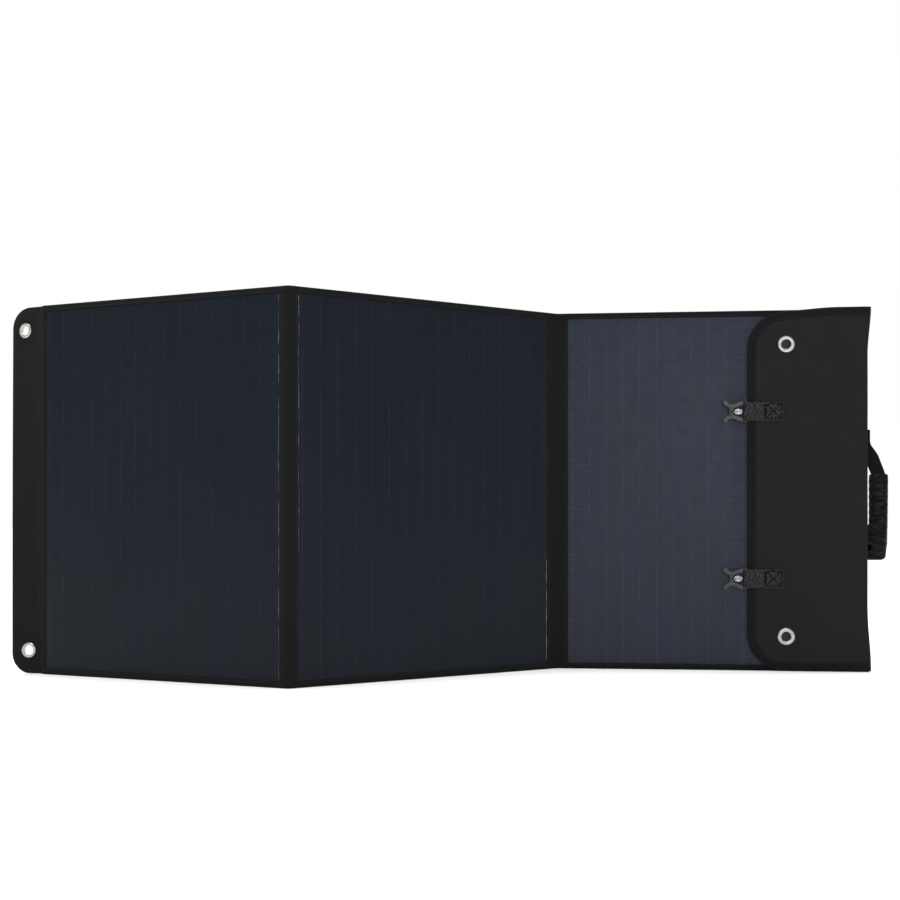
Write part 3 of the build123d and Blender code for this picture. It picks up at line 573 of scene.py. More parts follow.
# The clip yokes get a darker copy of the clip plastic: painted shade, as they sit in shadow between the levers.
SHADED_YOKE_PLASTIC = plastic("yoke_plastic_painted_shade", (0.009, 0.009, 0.009), rough=(0.45, 0.6))
NODE_LOOKS = {
    "case_cloth": CASE_CLOTH, "face_cloth": FACE_CLOTH, "sleeve_cloth": SLEEVE_CLOTH, "webbing": WEB,
    "binding_tape": BINDING, "front_film": FILMS["leaf_1"], "bright_steel": STEEL,
    "nickel": metal("nickel", (0.47, 0.45, 0.42), rough=(0.3, 0.45)),
    "clip_plastic": plastic("clip_plastic", (0.0115, 0.0102, 0.0088), rough=(0.3, 0.46)),
    "box_plastic": plastic("box_plastic", (0.017, 0.017, 0.018), 900.0, 0.0001, (0.5, 0.65)),
    "gland_rubber": plastic("gland_rubber", (0.014, 0.014, 0.014), 700.0, rough=(0.65, 0.8)),
    "stiffener": plain_grain("stiffener", (0.35, 0.33, 0.3)),
    "backsheet": plain_grain("backsheet", (0.75, 0.76, 0.77), 0.5),
    "solar_cell": plain_grain("solar_cell", (0.015, 0.022, 0.045), 0.3, 900.0),
    "lead": plain_grain("lead", (0.02, 0.02, 0.02), 0.5),
    "foam": plain_grain("foam", (0.1, 0.1, 0.1), 0.9, 1200.0),
    "circuit": plain_grain("circuit", (0.03, 0.16, 0.07), 0.4, 900.0),
}


# ---- laminates
def front_film(leaf, seed, relief):
    """The laminate's front, tight under the cloth all round and slightly wavy inside."""
    left, right = leaf.window()
    overlap = 2.5
    u, v = np.meshgrid(np.linspace(left - overlap, right + overlap, 91),
                       np.linspace(WINDOW_V[0] - overlap, WINDOW_V[1] + overlap, 121))
    edge = np.minimum(np.minimum(u - left, right - u), np.minimum(v - WINDOW_V[0], WINDOW_V[1] - v))
    free = ease(edge / 10)
    w = FILM_W[1] + free * (relief * 0.5 + waves(u, v, seed, 70, relief * 0.35, 1.6)
                            + waves(u, v, seed + 1, 24, relief * 0.1))
    flat = leaf.points(u, v, FILM_W[0])
    obj = piece(f"{leaf.name}_laminate", [sheet_solid(leaf.points(u, v, w), flat, leaf.local(flat))],
                FILMS[leaf.name], [f"{leaf.name}_front_film"])
    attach(obj, leaf.name)


def film_bead(leaf, u, v_span, seed, name, wide=0.8):
    """A thin wandering bead of clear film edge beside the cloth."""
    v = np.linspace(*v_span, 160)
    middle = u + waves(v, 0, seed, 60, 0.25) + waves(v, 0, seed + 1, 9, 0.12)
    half = wide / 2 * (0.55 + 0.45 * np.clip(waves(v, 0, seed + 2, 25, 1.0), -1, 1))
    half *= ease((v - v_span[0]) / 4) * ease((v_span[1] - v) / 4) * 0.9 + 0.1
    section = [(-1, 0.0), (-0.6, 0.22), (0, 0.3), (0.6, 0.22), (1, 0.0), (0, -0.1)]
    rings = np.stack([leaf.points(middle + a * half, v, FILM_W[1] + 0.05 + h) for a, h in section], 1)
    obj = piece(name, [ring_solid(rings, leaf.local(rings.reshape(-1, 3)))], FILM_EDGE)
    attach(obj, leaf.name)


# ---- cloth round the laminates
def hem_height(d):
    """Height of the cloth's front at distance d from its edge beside a laminate."""
    lip = np.sqrt(np.clip(1 - (1 - np.clip(d / 0.8, 0, 1)) ** 2, 0, 1))
    bead = 0.14 * np.exp(-((d - 1.2) / 0.6) ** 2)
    groove = -0.16 * np.exp(-((d - 2.4) / 0.45) ** 2)
    return FILM_W[1] + 0.06 + (FACE_W - FILM_W[1] - 0.06) * lip + (bead + groove) * lip


HEM_STEPS = np.array([0, 0.1, 0.3, 0.6, 0.9, 1.2, 1.6, 2.0, 2.4, 2.8, 3.3])
SEAM_IN, BACK_SEAM = 2.4, 9.8    # the stitches' distance from a laminate, and from a fold behind
CLOTH_V = np.linspace(*CLOTH_SPAN, 98)


def front_strip(place, span, hems, seed, sink=0.0):
    """Cloth between two edges. hems tells which of its two edges lie beside a laminate."""
    middle = np.arange(span[0] + 4, span[1] - 3.9, 0.8) if span[1] - span[0] > 8 else []
    u = np.unique(np.concatenate([span[0] + HEM_STEPS, middle, span[1] - HEM_STEPS]))
    u, v = np.meshgrid(u, CLOTH_V)
    w = np.full(u.shape, FACE_W)
    if hems[0]:
        w = np.minimum(w + 0.2, hem_height(u - span[0]))
    if hems[1]:
        w = np.minimum(w, hem_height(span[1] - u))
    crease = -sink * np.exp(-(u / 1.1) ** 2)
    w = w + waves(u, v, seed, 45, 0.05, 2.0) + crease
    drift = waves(v, 0 * v, seed + 3, 160, 0.18)
    front, back = place(u + drift, v, w), place(u + drift, v, FILM_W[1] + 0.04 + crease)
    return sheet_solid(front, back, cloth_metres(u, v, w))


def fold_cloth(fold, seed, crease):
    """The front and back cloth over a fold, as two sheets shaped round it."""
    front = piece(f"{fold.name}_front_cloth",
                  [front_strip(fold.points, fold.strips, (True, True), seed, crease)],
                  FACE_CLOTH, [f"{fold.name}_cloth_left", f"{fold.name}_cloth_right"])
    fold.blend(front)
    across = np.concatenate([[-12, -11.6, -11], np.linspace(-10, 10, 41), [11, 11.6, 12]])
    u, v = np.meshgrid(across, CLOTH_V)
    lip = ease((12 - np.abs(u)) / 0.9)
    ridge = np.exp(-((np.abs(u) - BACK_SEAM) / 0.5) ** 2)
    w = -0.45 * lip + 0.12 * ridge + waves(u, v, seed + 9, 40, 0.04)
    back = piece(f"{fold.name}_back_cloth",
                 [sheet_solid(fold.points(u, v, 0.35), fold.points(u, v, w), cloth_metres(u, v, w))],
                 CASE_CLOTH)
    fold.blend(back)


def side_strip(leaf, span, hems, seed):
    """Cloth between the leaf's laminate and its outer edge."""
    obj = piece(f"{leaf.name}_side_cloth", [front_strip(leaf.points, span, hems, seed)],
                FACE_CLOTH, [f"{leaf.name}_side_strips"])
    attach(obj, leaf.name)


def back_cloth(leaf, span, seed):
    """The leaf's back: cloth over the board, a little slack between its edges."""
    u, v = np.meshgrid(np.linspace(*span, 75), np.linspace(*CLOTH_SPAN, 97))
    edge = np.minimum(np.minimum(u - span[0], span[1] - u), np.minimum(v, CASE_H - v))
    free = ease((edge - 6) / 14)
    w = -0.05 - free * (0.18 + waves(u, v, seed, 90, 0.16) + waves(u, v, seed + 1, 33, 0.05))
    outer = leaf.points(u, v, w)
    obj = piece(f"{leaf.name}_back_cloth", [sheet_solid(leaf.points(u, v, 0.7), outer, leaf.local(outer))],
                CASE_CLOTH, [f"{leaf.name}_back_cover"])
    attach(obj, leaf.name)


# ---- edge tape
def tape_section(low, high, wide, radius, thick):
    """Tape folded over an edge, as (depth from the edge, height) in order round the section."""
    turn = np.linspace(0, math.pi / 2, 6)
    front = [(wide, high - thick * 0.85), (wide - 0.15, high - 0.12), (wide - 0.6, high),
             (wide - 2.5, high)]
    front += [(radius - radius * math.sin(a), high - radius + radius * math.cos(a)) for a in turn]
    back = [(radius - radius * math.cos(a), low + radius - radius * math.sin(a)) for a in turn]
    back += [(wide - 2.5, low), (wide - 0.6, low), (wide - 0.15, low + 0.12), (wide, low + thick * 0.85)]
    inner = [(radius + 0.5, low + thick), (thick + 0.2, low + thick + 0.6),
             (thick + 0.2, high - thick - 0.6), (radius + 0.5, high - thick)]
    return np.array(front + back + inner)


LEAF_SECTION = tape_section(-TAPE, FACE_W + TAPE, TAPE_WIDE, 1.8, TAPE)


def edge_tapes(place, span, seed, step=5.0):
    """Bottom and top tape from span[0] to span[1] along u."""
    u = np.linspace(*span, max(3, int((span[1] - span[0]) / step) + 1))[:, None]
    depth, height = LEAF_SECTION.T
    ends = ease(np.minimum(u - span[0], span[1] - u) / 3)
    solids = []
    for bottom in (True, False):
        wander = waves(u, 0 * u, seed + bottom, 60, 0.1) * (depth > 4)
        v = depth + wander * ends
        v = v if bottom else CASE_H - v
        solids.append(ring_solid(place(u, v, height), cloth_metres(u, v, height)))
    return solids


def bindings():
    """Tape on each leaf, and the short lengths laid round the folds."""
    a, b = FOLD_A.reach + 1, FOLD_B.reach + 1
    spans = {ONE: (LEAF_ONE_LEFT, -a), TWO: (a, LEAF_W - b), THREE: (b, SPINE_U[1])}
    for seed, (leaf, span) in enumerate(spans.items()):
        obj = piece(f"{leaf.name}_edge_tape", edge_tapes(leaf.points, span, 40 + seed), BINDING,
                    [f"{leaf.name}_binding"])
        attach(obj, leaf.name)
    for seed, fold in enumerate((FOLD_A, FOLD_B)):
        reach = fold.reach + 1
        obj = piece(f"{fold.name}_edge_tape", edge_tapes(fold.points, (-reach, reach), 50 + seed, 0.6),
                    BINDING)
        fold.blend(obj)


# ---- tail
def outline_inside(u, v, left, low, high, radius):
    """Distance from the free edges of a rectangle whose two left corners are rounded."""
    flat = np.minimum(u - left, np.minimum(v - low, high - v))
    corner_v = np.maximum(low + radius - v, v - (high - radius))
    corner_u = left + radius - u
    in_corner = (corner_u > 0) & (corner_v > 0)
    return np.where(in_corner, radius - np.hypot(corner_u, corner_v), flat)


def outline_grid(left, right, low, high, radius, columns, rows):
    """A grid over that outline, with close rows and columns at its edges."""
    first = left + radius * (1 - np.cos(np.linspace(0, math.pi / 2, columns)))
    u = np.concatenate([first[:1], first[:1] + [0.25, 0.7], first[2:],
                        np.linspace(first[-1], right, max(3, int((right - first[-1]) / 5)))[1:]])
    drop = radius - np.sqrt(np.clip(radius ** 2 - np.clip(left + radius - u, 0, radius) ** 2, 0, None))
    inner = np.linspace(0, 1, rows)[1:-1]
    tall = high - low
    t = np.concatenate([[0, 0.4 / tall, 1.0 / tall, 2.0 / tall], inner,
                        [1 - 2.0 / tall, 1 - 1.0 / tall, 1 - 0.4 / tall, 1]])
    grid_v = (low + drop) + (tall - 2 * drop) * t[:, None]
    return np.tile(u, (len(t), 1)), grid_v


def rolled(depth, radius):
    """Share of full thickness at this depth inside a rolled edge."""
    return 0.25 + 0.75 * np.sqrt(np.clip(1 - (1 - np.clip(depth / radius, 0, 1)) ** 2, 0, 1))


def tail_points(u, v, offset, taper=True):
    """Points of the tail's cloth, which twists forward at its foot and widens to its head.
    u is measured on a tail of even width unless taper is off."""
    u, v, offset = np.broadcast_arrays(u, v, offset)
    ends = [ONE.out * math.sin(math.radians(turn)) - ONE.along * math.cos(math.radians(turn))
            for turn in TAIL_TWIST]
    tall = TAIL_V[1] - TAIL_V[0]
    share = ((v - TAIL_V[0]) / tall)[..., None]
    away = ends[0] * (1 - share) + ends[1] * share
    reach = (LEAF_ONE_LEFT - u)[..., None] * MM
    if taper:
        low, high = (end + TAIL_FOLD_U for end in TAIL_REACH)
        reach = reach * 2 * (low * (1 - share) + high * share) / (low + high)
    rise = UP + (ends[1] - ends[0]) * reach / (tall * MM)
    normal = unit(np.cross(-away, rise))
    root = ONE.points(LEAF_ONE_LEFT, v, FACE_W / 2)
    return root + away * reach + normal * offset[..., None] * MM


def tail():
    """The tail's cloth, pressed in along its stitches and cut for its eyelets."""
    left, right = -sum(TAIL_REACH) / 2, LEAF_ONE_LEFT
    u, v = outline_grid(left, right, *TAIL_V, TAIL_CORNER, 11, 90)
    inside = outline_inside(u, v, left, *TAIL_V, TAIL_CORNER)
    near = ease((right - u) / 5)
    half = (FACE_W / 2 * (1 - near) + TAIL_HALF * near) * rolled(inside, 1.3)
    half = half - 0.18 * np.exp(-((inside - TAIL_HEM) / 0.6) ** 2) * near
    half = half - 0.3 * np.exp(-((u - TAIL_SEAM_U) / 0.9) ** 2) * near
    slack = (waves(u, v, 61, 55, 0.35) + waves(u, v, 62, 18, 0.08)) * near * ease((inside - 1) / 8)
    front, back = tail_points(u, v, slack + half), tail_points(u, v, slack - half)
    obj = piece("tail_strip", [sheet_solid(front, back, cloth_metres(u, v, half))],
                TAIL_CLOTH, ["tail_cloth"])
    places = [tail_points(*eyelet, 0.0, taper=False) for eyelet in TAIL_EYELETS]
    cut_holes(obj, ONE, places, EYELET_BARREL)
    start, end = (ONE.points(TAIL_FOLD_U + shift, CASE_H / 2, FACE_W / 2) for shift in (0.0, -5.0))
    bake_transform(obj)
    tail_stitches(outline_path(left, right - 6, *TAIL_V, TAIL_CORNER, TAIL_HEM))


def tail_stitches(border):
    """Stitches along the border and up the tail's inner side, on both faces."""
    seam = np.array([(TAIL_SEAM_U, v) for v in np.linspace(6, CASE_H - 6, 60)])
    solids = [stitch_solid(tail_points(*line.T, side * (TAIL_HALF - 0.05)), ONE.out * side)
              for side in (1, -1) for line in (border, seam)]
    sew("tail_stitches", solids, "tail")


def outline_path(left, right, low, high, radius, inset):
    """The outline drawn in by inset, from its lower right end round to its upper right end."""
    turn = np.linspace(0, math.pi / 2, 14)
    r = radius - inset
    lower = [(left + radius - r * math.sin(a), low + radius - r * math.cos(a)) for a in turn]
    upper = [(u, low + high - v) for u, v in reversed(lower)]
    return np.array([(right, low + inset), *lower, *upper, (right, high - inset)])


# ---- spine, hinge cloth and flap
def spine():
    """The soft strip beside leaf 3, which the flap's cloth is sewn to."""
    right = SPINE_U[1] - 2.6
    u, v = np.meshgrid(np.linspace(SPINE_U[0], right, 24), np.linspace(*CLOTH_SPAN, 97))
    edge = rolled(right - u, 2.0)
    hollow = ease((u - SPINE_U[0]) / 8) * ease((SPINE_U[1] - u) / 4)
    half = FACE_W / 2 * edge - 0.35 * hollow
    bulge = waves(u, v, 71, 60, 0.1)
    front, back = (THREE.points(u, v, FACE_W / 2 + side * half + bulge) for side in (1, -1))
    obj = piece("spine_strip", [sheet_solid(front, back, THREE.local(front))], CASE_CLOTH,
                ["spine_cloth"])
    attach(obj, "leaf_3")


def flap_points(u, v, w):
    """Points of the flap's cloth, whose upper right corner is drawn up a little."""
    raised = 5.0 * ease((u - 290) / 85) * ease((v - 380) / 100)
    return THREE.points(u, v + raised, w)


def flap_hinge():
    """Cloth from the back of the spine round the right edge to the front of the flap."""
    centre = np.array([(408.0, 0.25), (413.0, 0.2), (416.1, 1.6), (417.3, 4.2), (417.1, 7.0),
                       (415.6, 8.9), (413.0, 9.45), (408.0, 9.5)])
    path, at = resample(rounded(centre, 1.6, 4), 0.7)
    normal = -left_of(path)
    v = np.linspace(HIDDEN, FLAP_V[1] - 0.4, 97)[:, None]
    bulge = waves(at[None, :], v, 81, 50, 0.12)
    narrow = 1.0 - 0.68 * ease(v / 90) * ease((FLAP_V[1] - v) / 60)
    flat_to = 411.0
    sides = []
    for offset in (0.4, -0.4):
        u = path[:, 0] + normal[:, 0] * (offset + bulge)
        w = path[:, 1] + normal[:, 1] * (offset + bulge)
        u = np.where(u > flat_to, flat_to + (u - flat_to) * narrow, u)
        sides.append(flap_points(u, v, w))
    obj = piece("flap_hinge_cloth", [sheet_solid(*sides, cloth_metres(at, v, 0.0))], CASE_CLOTH)
    ends = [THREE.points(SPINE_U[1], CASE_H / 2, w).tolist() for w in (1.0, 9.0)]
    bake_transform(obj)


def flap_sheet(name, low, high, inset, right, seed, relief, material, replaces):
    """A layer of the flap with its two left corners rounded. Relief is 1 where its front shows
    and -1 where its back does."""
    left, bottom, top = FLAP_LEFT + inset, FLAP_V[0] + inset, FLAP_V[1] - inset
    radius = FLAP_CORNER - inset
    u, v = outline_grid(left, right, bottom, top, radius, 13, 97)
    inside = outline_inside(u, v, left, bottom, top, radius)
    panel = ease((inside - 13) / 3)
    seam = np.exp(-((inside - FLAP_SEAM) / 0.7) ** 2)
    free = ease((inside - 14) / 12) * ease((right - u + 2) / 10)
    outer = relief * (0.25 * panel - 0.3 * seam + free * waves(u, v, seed, 80, 0.22, 1.4)
                      + free * waves(u, v, seed + 1, 26, 0.05))
    front = flap_points(u, v, high + (outer if relief > 0 else 0))
    back = flap_points(u, v, low + (outer if relief < 0 else 0))
    obj = piece(name, [sheet_solid(front, back, THREE.local(front))], material, replaces)
    middle = (FLAP_W[0] + FLAP_W[3]) / 2
    cut_holes(obj, THREE, [THREE.points(*eyelet, middle) for eyelet in FLAP_EYELETS], EYELET_BARREL)
    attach(obj, "flap")


def flap_tape():
    """Tape round the flap's three free edges, its inner edge a little uneven."""
    depth, w = tape_section(FLAP_W[0] - FLAP_TAPE, FLAP_W[3] + FLAP_TAPE, FLAP_TAPE_WIDE, 1.5,
                            FLAP_TAPE).T
    path, at = resample(outline_path(FLAP_LEFT, SPINE_U[1], *FLAP_V, FLAP_CORNER, 0.0), 4.0)
    inward, at = -left_of(path), at[:, None]
    depth = depth + (depth > 6) * waves(at, 0 * at, 91, 50, 0.14)
    u = path[:, :1] + inward[:, :1] * depth
    v = path[:, 1:] + inward[:, 1:] * depth
    obj = piece("flap_edge_tape", [ring_solid(flap_points(u, v, w), cloth_metres(at, depth, w))],
                BINDING, ["flap_binding"])
    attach(obj, "flap")


# ---- webbing, clips and handle
def strap_solid(place, path, at, wide, thick, sewn=None):
    """A flat strap along a path; place(path, across, lift) gives the points of one of its lines.
    sewn(path, across) is how far stitching pulls the strap's outer side in."""
    across = np.concatenate([[-0.5, -0.485], np.linspace(-0.46, 0.46, 31), [0.485, 0.5]]) * wide
    swell = np.array([0.35, 0.85] + [1.0] * 31 + [0.85, 0.35]) * thick / 2
    pulled = [sewn(path, k) if sewn else 0.0 for k in across]
    top = [place(path, k, lift) for k, lift in zip(across, swell)]
    low = [place(path, k, dip - lift)
           for k, lift, dip in zip(across[::-1], swell[::-1], pulled[::-1])]
    rings = np.stack(top + low, 1)
    order = np.concatenate([across, across[::-1]])
    return ring_solid(rings, cloth_metres(at[:, None], order, 0.0))


def distance_to(points, start, end):
    """Distance of each point from the line between two points."""
    run = end - start
    share = np.clip((points - start) @ run / (run @ run), 0, 1)[:, None]
    return np.linalg.norm(points - start - share * run, axis=1)


def clip_seams():
    """Stitch lines on a clip's webbing: a box with a cross in it, and a line across the strap."""
    box = [(279.0, -10), (299.5, -10), (299.5, 10), (279.0, 10)]
    lines = (*box, box[0]), box[::2], box[1::2], ((277.2, -11.6), (277.2, 11.6))
    return [np.array(line, float) for line in lines]


CLIP_SEAMS = clip_seams()


def clip_webbing(place_name, middle):
    """A strap sewn to the flap that goes round the clip's bar and back under itself."""
    turn = np.radians(np.linspace(75, 285, 15))
    loop = [(BAR_U + LOOP_RADIUS * math.cos(a), BAR_W + LOOP_RADIUS * math.sin(a)) for a in turn]
    centre = [(301.8, 11.7), (298, 11.86), (273.5, 11.86), (271.5, 11.7), (269, 11.9), (262, 12.1),
              (256, 12.75), *loop, (256, 10.35), (262, 10.35), (272, 10.42), (301.8, 10.5)]
    path, at = resample(np.array(centre), 0.8)
    normal = left_of(path)

    def place(path, across, lift):
        u, w = (path + normal * np.reshape(lift, (-1, 1))).T
        return THREE.points(u, middle + across, w)

    def sewn(path, across):
        point = np.stack([path[:, 0], np.full(len(path), across)], -1)
        near = np.min([distance_to(point, start, end)
                       for line in CLIP_SEAMS for start, end in zip(line, line[1:])], 0)
        return 0.45 * np.exp(-(near / 0.9) ** 2) * (path[:, 1] > BAR_W)

    obj = piece(f"{place_name}_clip_webbing",
                [strap_solid(place, path, at, WEBBING, WEBBING_THICK, sewn)], WEB,
                [f"{place_name}_clip_tab"])
    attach(obj, "flap")
    solids = [stitch_solid(THREE.points(line[:, 0], line[:, 1] + middle, 12.2), THREE.out, 2.6, 0.2, 0.78)
              for line in CLIP_SEAMS]
    sew(f"{place_name}_clip_stitches", solids, "flap", BLACK_THREAD)


def wire_solid(path, radius, sides=10):
    """A round wire along a path in metres."""
    run = directions(path)
    side = unit(np.cross(run, THREE.out))
    lift = np.cross(side, run)
    angle = (np.arange(sides) * math.tau / sides)[:, None]
    rings = path[:, None] + radius * (side[:, None] * np.cos(angle) + lift[:, None] * np.sin(angle))
    return ring_solid(rings, rings)


def clip_spring(place_name, middle):
    """A torsion spring: turns of bright wire wound in and out again, and a leg to each lever."""
    coil_u, low, pitch = BAR_U - 10.4, 9.75, 0.62
    turn = np.linspace(-0.28, 3.78, 150) * math.tau
    share = (turn - turn[0]) / (turn[-1] - turn[0])
    radius = 3.7 - 2.5 * np.sin(math.pi * share) ** 1.4
    w = low + pitch * (turn - turn[0]) / math.tau
    coil = np.stack([coil_u - radius * np.sin(turn) * 1.4, middle + radius * np.cos(turn), w], -1)
    legs = []
    for end, step in ((coil[0], coil[0] - coil[1]), (coil[-1], coil[-1] - coil[-2])):
        step = step / np.linalg.norm(step) * (1, 1, 0)
        legs.append([end + step * reach for reach in (0.5, 1.1, 1.8)])
    path = np.array([*legs[0][::-1], *coil, *legs[1]])
    solid = wire_solid(THREE.points(*path.T), 0.52 * MM)
    obj = piece(f"{place_name}_clip_coil", [solid], STEEL, [f"{place_name}_clip_spring"])
    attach(obj, f"{place_name}_clip")


def handle():
    """The handle's webbing strap and the stitches at its ends."""
    path, at = resample(rounded(HANDLE_ROUTE, HANDLE_BEND), 2.0)
    side = left_of(path)
    low, high = STRAP_W

    def place(path, across, lift):
        return THREE.points(*(path + side * across).T, (low + high) / 2 - lift)

    strap = piece("handle_webbing", [strap_solid(place, path, at, HANDLE_WIDE, high - low)],
                  STRAP, ["handle_strap"])
    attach(strap, "handle")
    box = np.array([(-6, -10), (6, -10), (6, 10), (-6, 10), (-6, -10), (6, 10)])
    cross = np.array([(-6, 10), (6, -10)])
    solids = [stitch_solid(THREE.points(*(line + centre).T, low - 0.05), -THREE.out)
              for centre in HANDLE_ENDS for line in (box, cross)]
    sew("handle_stitches", solids, "handle")


def sleeve_folds(s, across, face):
    """Height of the folds at share s down the grip: wide, narrow and slanting ones together."""
    bend = 1.1 * np.sin(2.2 * across + 5 * s) + 0.9 * np.sin(9 * s)
    folds = 1.4 - 2.8 * np.abs(np.sin(s * 38 + bend)) ** 0.7
    folds += np.sin(s * 97 - 2.6 * across + 2 * np.sin(s * 21)) * 0.55
    folds += np.sin(s * 43 + 3.4 * across + face) * 0.45
    ends = ease(s / 0.04) * ease((1 - s) / 0.04)
    return np.clip(folds * 0.7, -0.75, 1.3) * np.abs(face) ** 0.5 * ends


def sleeve():
    """Cloth gathered on the grip: slanting folds across its faces, drawn in at both ends."""
    low, high = GRIP_V
    v = np.linspace(high, low, 190)[:, None]
    s = (high - v) / (high - low)
    angle = np.linspace(0, math.tau, 65)[:-1]
    across, face = np.cos(angle), np.sin(angle)
    foot, head = 1 - rolled(v - low, 7.0), 1 - rolled(high - v, 4.0)
    left = GRIP_U[0] - 8 * ease((200 - v) / 14) + 6 * head
    right = GRIP_U[1] - 3.0 * s ** 2 - 9 * foot - 5 * head
    half = (right - left) / 2 + np.sin(s * 71 + 1.2) * 0.25
    depth = GRIP_HALF_W * (1 - 0.45 * (foot + head)) + sleeve_folds(s, across, face)
    u = (right + left) / 2 + np.sign(across) * np.abs(across) ** 0.8 * half
    w = GRIP_MID_W + np.sign(face) * np.abs(face) ** 0.7 * depth
    points = THREE.points(u, v, w)
    obj = piece("handle_grip_sleeve", [ring_solid(points, points)], SLEEVE_CLOTH,
                ["handle_sleeve"], smooth=80)
    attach(obj, "handle")


PAD_BULGE = 0.1


def rounded_pad(leaf, centre, size, w_low, w_high):
    """A small rectangular patch of cloth with soft edges, on the back of a leaf."""
    t = np.array([0, 0.02, 0.06, 0.12, 0.25, 0.4, 0.6, 0.75, 0.88, 0.94, 0.98, 1])
    u, v = np.meshgrid(centre[0] + (t - 0.5) * size[0], centre[1] + (t - 0.5) * size[1])
    inside = np.minimum(size[0] / 2 - abs(u - centre[0]), size[1] / 2 - abs(v - centre[1]))
    outer = w_high + (w_low - w_high) * rolled(inside, 1.0) - PAD_BULGE * ease(inside / 8)
    back = leaf.points(u, v, outer)
    return sheet_solid(leaf.points(u, v, w_high), back, leaf.local(back))


def patches():
    """Cloth patches under the studs, and the sewn ends under the handle's strap."""
    for name, leaf, centres, size, layer, old in (
        ("keeper_cloth", TWO, KEEPERS, (30, 30), (-0.7, 0.0), "keeper_patches"),
        ("handle_end_cloth", THREE, HANDLE_ENDS, (16, 24), (-2.3, 0.0), "handle_anchors"),
    ):
        solids = [rounded_pad(leaf, centre, size, *layer) for centre in centres]
        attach(piece(name, solids, WEB if leaf is TWO else STRAP, [old]), leaf.name)
    box = np.array([(-13, -13), (13, -13), (13, 13), (-13, 13), (-13, -13)])
    solids = [stitch_solid(TWO.points(*(box + centre).T, -0.86), -TWO.out) for centre in KEEPERS]
    sew("keeper_stitches", solids, "leaf_2")


# ---- rows of stitches
def leaf_stitches(leaf, span, seams, back_seams):
    """Stitches along the laminate's sides, along the tapes and along the back's strips."""
    rise = (TAPE_WIDE + 1, CASE_H - TAPE_WIDE - 1)
    rows = [(u, rise, FACE_W - 0.05, leaf.out) for u in seams]
    rows += [(u, rise, -0.36, -leaf.out) for u in back_seams]
    for v in (TAPE_WIDE - 1.8, CASE_H - TAPE_WIDE + 1.8):
        rows += [(span, v, FACE_W + TAPE, leaf.out), (span, v, -TAPE, -leaf.out)]
    solids = [stitch_solid(leaf.points(u, v, w), out) for u, v, w, out in rows]
    sew(f"{leaf.name}_stitches", solids, leaf.name)


def flap_stitches():
    """Two rows round the flap, on both of its faces: through the tape and beside it."""
    solids = []
    for inset, front_w, back_w in (
        (FLAP_TAPE_WIDE - 1.6, FLAP_W[3] + FLAP_TAPE, FLAP_W[0] - FLAP_TAPE),
        (FLAP_SEAM, FLAP_W[3] - 0.05, FLAP_W[0]),
    ):
        line = outline_path(FLAP_LEFT, 412.0, *FLAP_V, FLAP_CORNER, inset).T
        solids.append(stitch_solid(flap_points(*line, front_w), THREE.out))
        solids.append(stitch_solid(flap_points(*line, back_w), -THREE.out))
    sew("flap_stitches", solids, "flap")


# ---- carried-over CAD pieces
def dress_nodes():
    """Gives every CAD node its material, and soft edges to the moulded parts."""
    for entry in frame["record"]["subparts"]:
        mesh = frame["nodes"][entry["node"]].data
        mesh.materials.clear()
        look = NODE_LOOKS[entry["material_slot"]]
        # Painted shade: the yokes take the darker copy of the clip plastic.
        mesh.materials.append(SHADED_YOKE_PLASTIC if "yoke" in entry["node"] else look)
    for node in ("junction_base", "junction_lid", "output_gland", "upper_clip_yoke", "lower_clip_yoke",
                 *(f"{place}_clip_lever_{letter}" for place in CLIP_V for letter in "ab")):
        bevel = frame["nodes"][node].modifiers.new("soft_edges", "BEVEL")
        bevel.width, bevel.segments = (0.0006 if node.startswith("junction") else 0.0009), 3
        bevel.limit_method, bevel.angle_limit = "ANGLE", math.radians(50)


# ---- studio
def area_light(name, place, aim, size, power, colour=(1, 1, 1)):
    data = bpy.data.lights.new(name, "AREA")
    data.shape, data.size, data.size_y = "RECTANGLE", *size
    data.energy, data.color = power, colour
    light = bpy.data.objects.new(name, data)
    light.location = place
    light.rotation_mode = "QUATERNION"
    light.rotation_quaternion = (Vector(aim) - Vector(place)).to_track_quat("-Z", "Y")
    link(light)


def white_room():
    """A white room that is dimmer towards the camera's side, and plain white where it is seen."""
    world = bpy.data.worlds.new("studio")
    world.use_nodes = True
    room = Nodes(world.node_tree)
    place = room.node("ShaderNodeTexCoord").outputs["Generated"]
    back = room.node("ShaderNodeSeparateXYZ", {0: place}).outputs["Y"]
    seen = room.node("ShaderNodeLightPath").outputs["Is Camera Ray"]
    light = world.node_tree.nodes["Background"].inputs
    room.put(room.math("MAXIMUM", room.span(back, -0.4, 0.4, 0.5, 1.0), seen), light["Strength"])
    room.put((1, 1, 1, 1), light["Color"])
    bpy.context.scene.world = world


def floor():
    """A plain pale floor, 60 m across."""
    mesh = bpy.data.meshes.new("floor")
    corners = [(-30.0, -30.0, 0), (30.0, -30.0, 0), (30.0, 30.0, 0), (-30.0, 30.0, 0)]
    mesh.from_pydata(corners, [], [(0, 1, 2, 3)])
    ground = bpy.data.objects.new("floor", mesh)
    paint = Paint("floor", coordinates="object")
    tone = paint.mix(paint.noise(3.0), 0.93, 0.96)
    mesh.materials.append(paint.finish(tone, 0.9, specular_ior_level=0.0))
    link(ground)


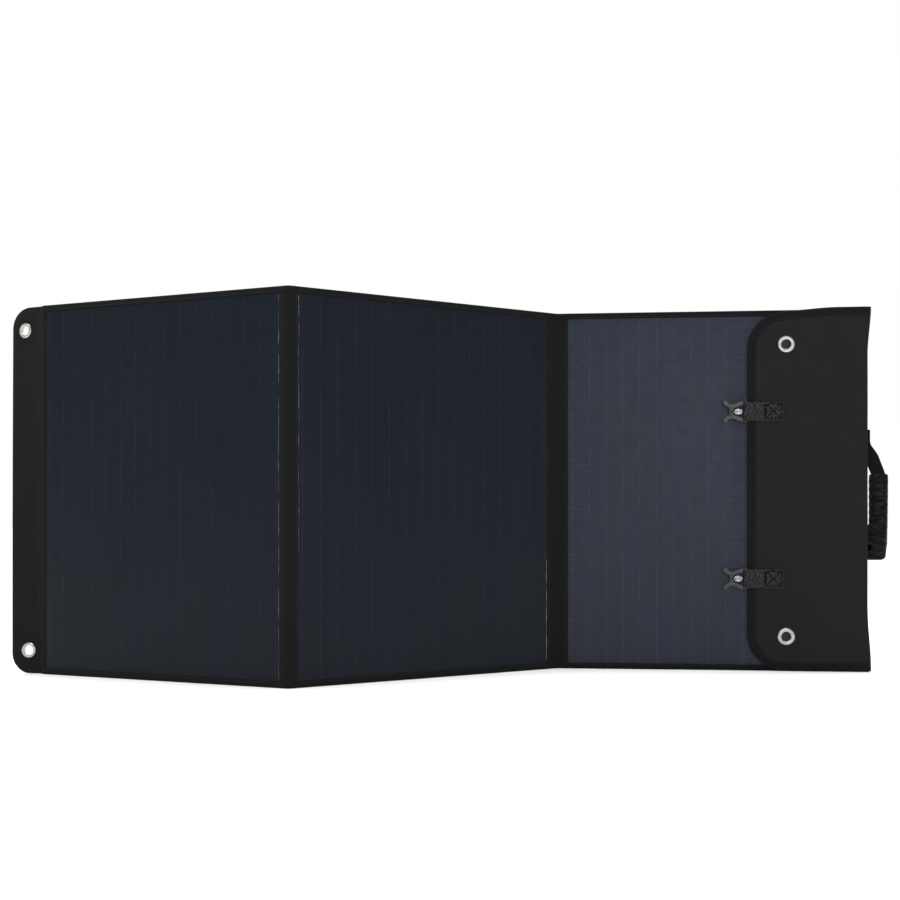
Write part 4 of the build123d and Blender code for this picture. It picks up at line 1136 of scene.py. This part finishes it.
def lights():
    """A soft sun overhead and three panels of light."""
    sun = bpy.data.objects.new("overhead", bpy.data.lights.new("overhead", "SUN"))
    sun.data.energy, sun.data.angle = 2.2, math.radians(20)
    link(sun)
    area_light("key", (-0.9, -1.6, 2.2), (0.0, 0.0, 0.2), (1.6, 1.2), 16.0)
    area_light("panel", (0.6, -2.1, 0.62), (0.35, 0.1, 0.25), (1.0, 0.9), 9.0, (0.90, 0.95, 1.0))
    area_light("rear", (0.6, 2.0, 1.8), (0.0, 0.0, 0.2), (1.6, 1.0), 14.0)


def camera():
    """The camera, level and shifted so that upright edges stay upright."""
    bpy.context.scene.view_settings.view_transform = "Standard"
    data = bpy.data.cameras.new("camera")
    data.sensor_width, data.lens = 36.0, 46.0
    data.shift_x, data.shift_y = -0.063, 0.0776
    cam = bpy.data.objects.new("camera", data)
    cam.location = (0.2055, -1.4736, 0.203)
    cam.rotation_mode = "QUATERNION"
    cam.rotation_quaternion = Vector((-0.0865, 0.9963, 0.0)).to_track_quat("-Z", "Y")
    link(cam)
    bpy.context.scene.camera = cam


# ---- build
dress_nodes()
front_film(ONE, 11, 0.25)
front_film(TWO, 12, 0.3)
front_film(THREE, 13, 0.5)
film_bead(ONE, -10.2, (10, 475), 21, "leaf_1_film_edge")
film_bead(TWO, 9.0, (150, 475), 24, "leaf_2_film_edge_left")
film_bead(TWO, 361.6, (12, 150), 27, "leaf_2_film_edge_right", 1.1)
fold_cloth(FOLD_A, 31, 0.0)
fold_cloth(FOLD_B, 35, 0.7)
side_strip(ONE, (LEAF_ONE_LEFT, WINDOW_LEFT["leaf_1"]), (False, True), 33)
side_strip(THREE, (WINDOW_LEFT["leaf_3"] + WINDOW_W, SPINE_U[0]), (True, False), 37)
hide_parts("leaf_2_side_strips")
back_cloth(ONE, (LEAF_ONE_LEFT, -FOLD_A.reach), 101)
back_cloth(TWO, (FOLD_A.reach, LEAF_W - FOLD_B.reach), 104)
back_cloth(THREE, (FOLD_B.reach, SPINE_U[0]), 107)
bindings()
tail()
spine()
flap_hinge()
flap_sheet("flap_cloth", FLAP_W[2], FLAP_W[3], FLAP_TAPE, 409.5, 111, 1.0, CASE_CLOTH, ["flap_cover"])
flap_sheet("flap_lining_cloth", FLAP_W[0], FLAP_W[1], FLAP_TAPE, 411.5, 114, -1.0, LINING_CLOTH,
           ["flap_lining"])
flap_tape()
for clip, height in CLIP_V.items():
    clip_webbing(clip, height)
    clip_spring(clip, height)
handle()
sleeve()
patches()
leaf_stitches(ONE, (TAIL_FOLD_U + 1, -7), (-9 + SEAM_IN,), (-BACK_SEAM, TAIL_FOLD_U + 6))
leaf_stitches(TWO, (7, LEAF_W - 8), (8 - SEAM_IN, 363 + SEAM_IN), (BACK_SEAM, LEAF_W - BACK_SEAM))
leaf_stitches(THREE, (8, 414), (13.5 - SEAM_IN, 368.5 + SEAM_IN), (BACK_SEAM, 379))
flap_stitches()
white_room()
floor()
lights()
camera()
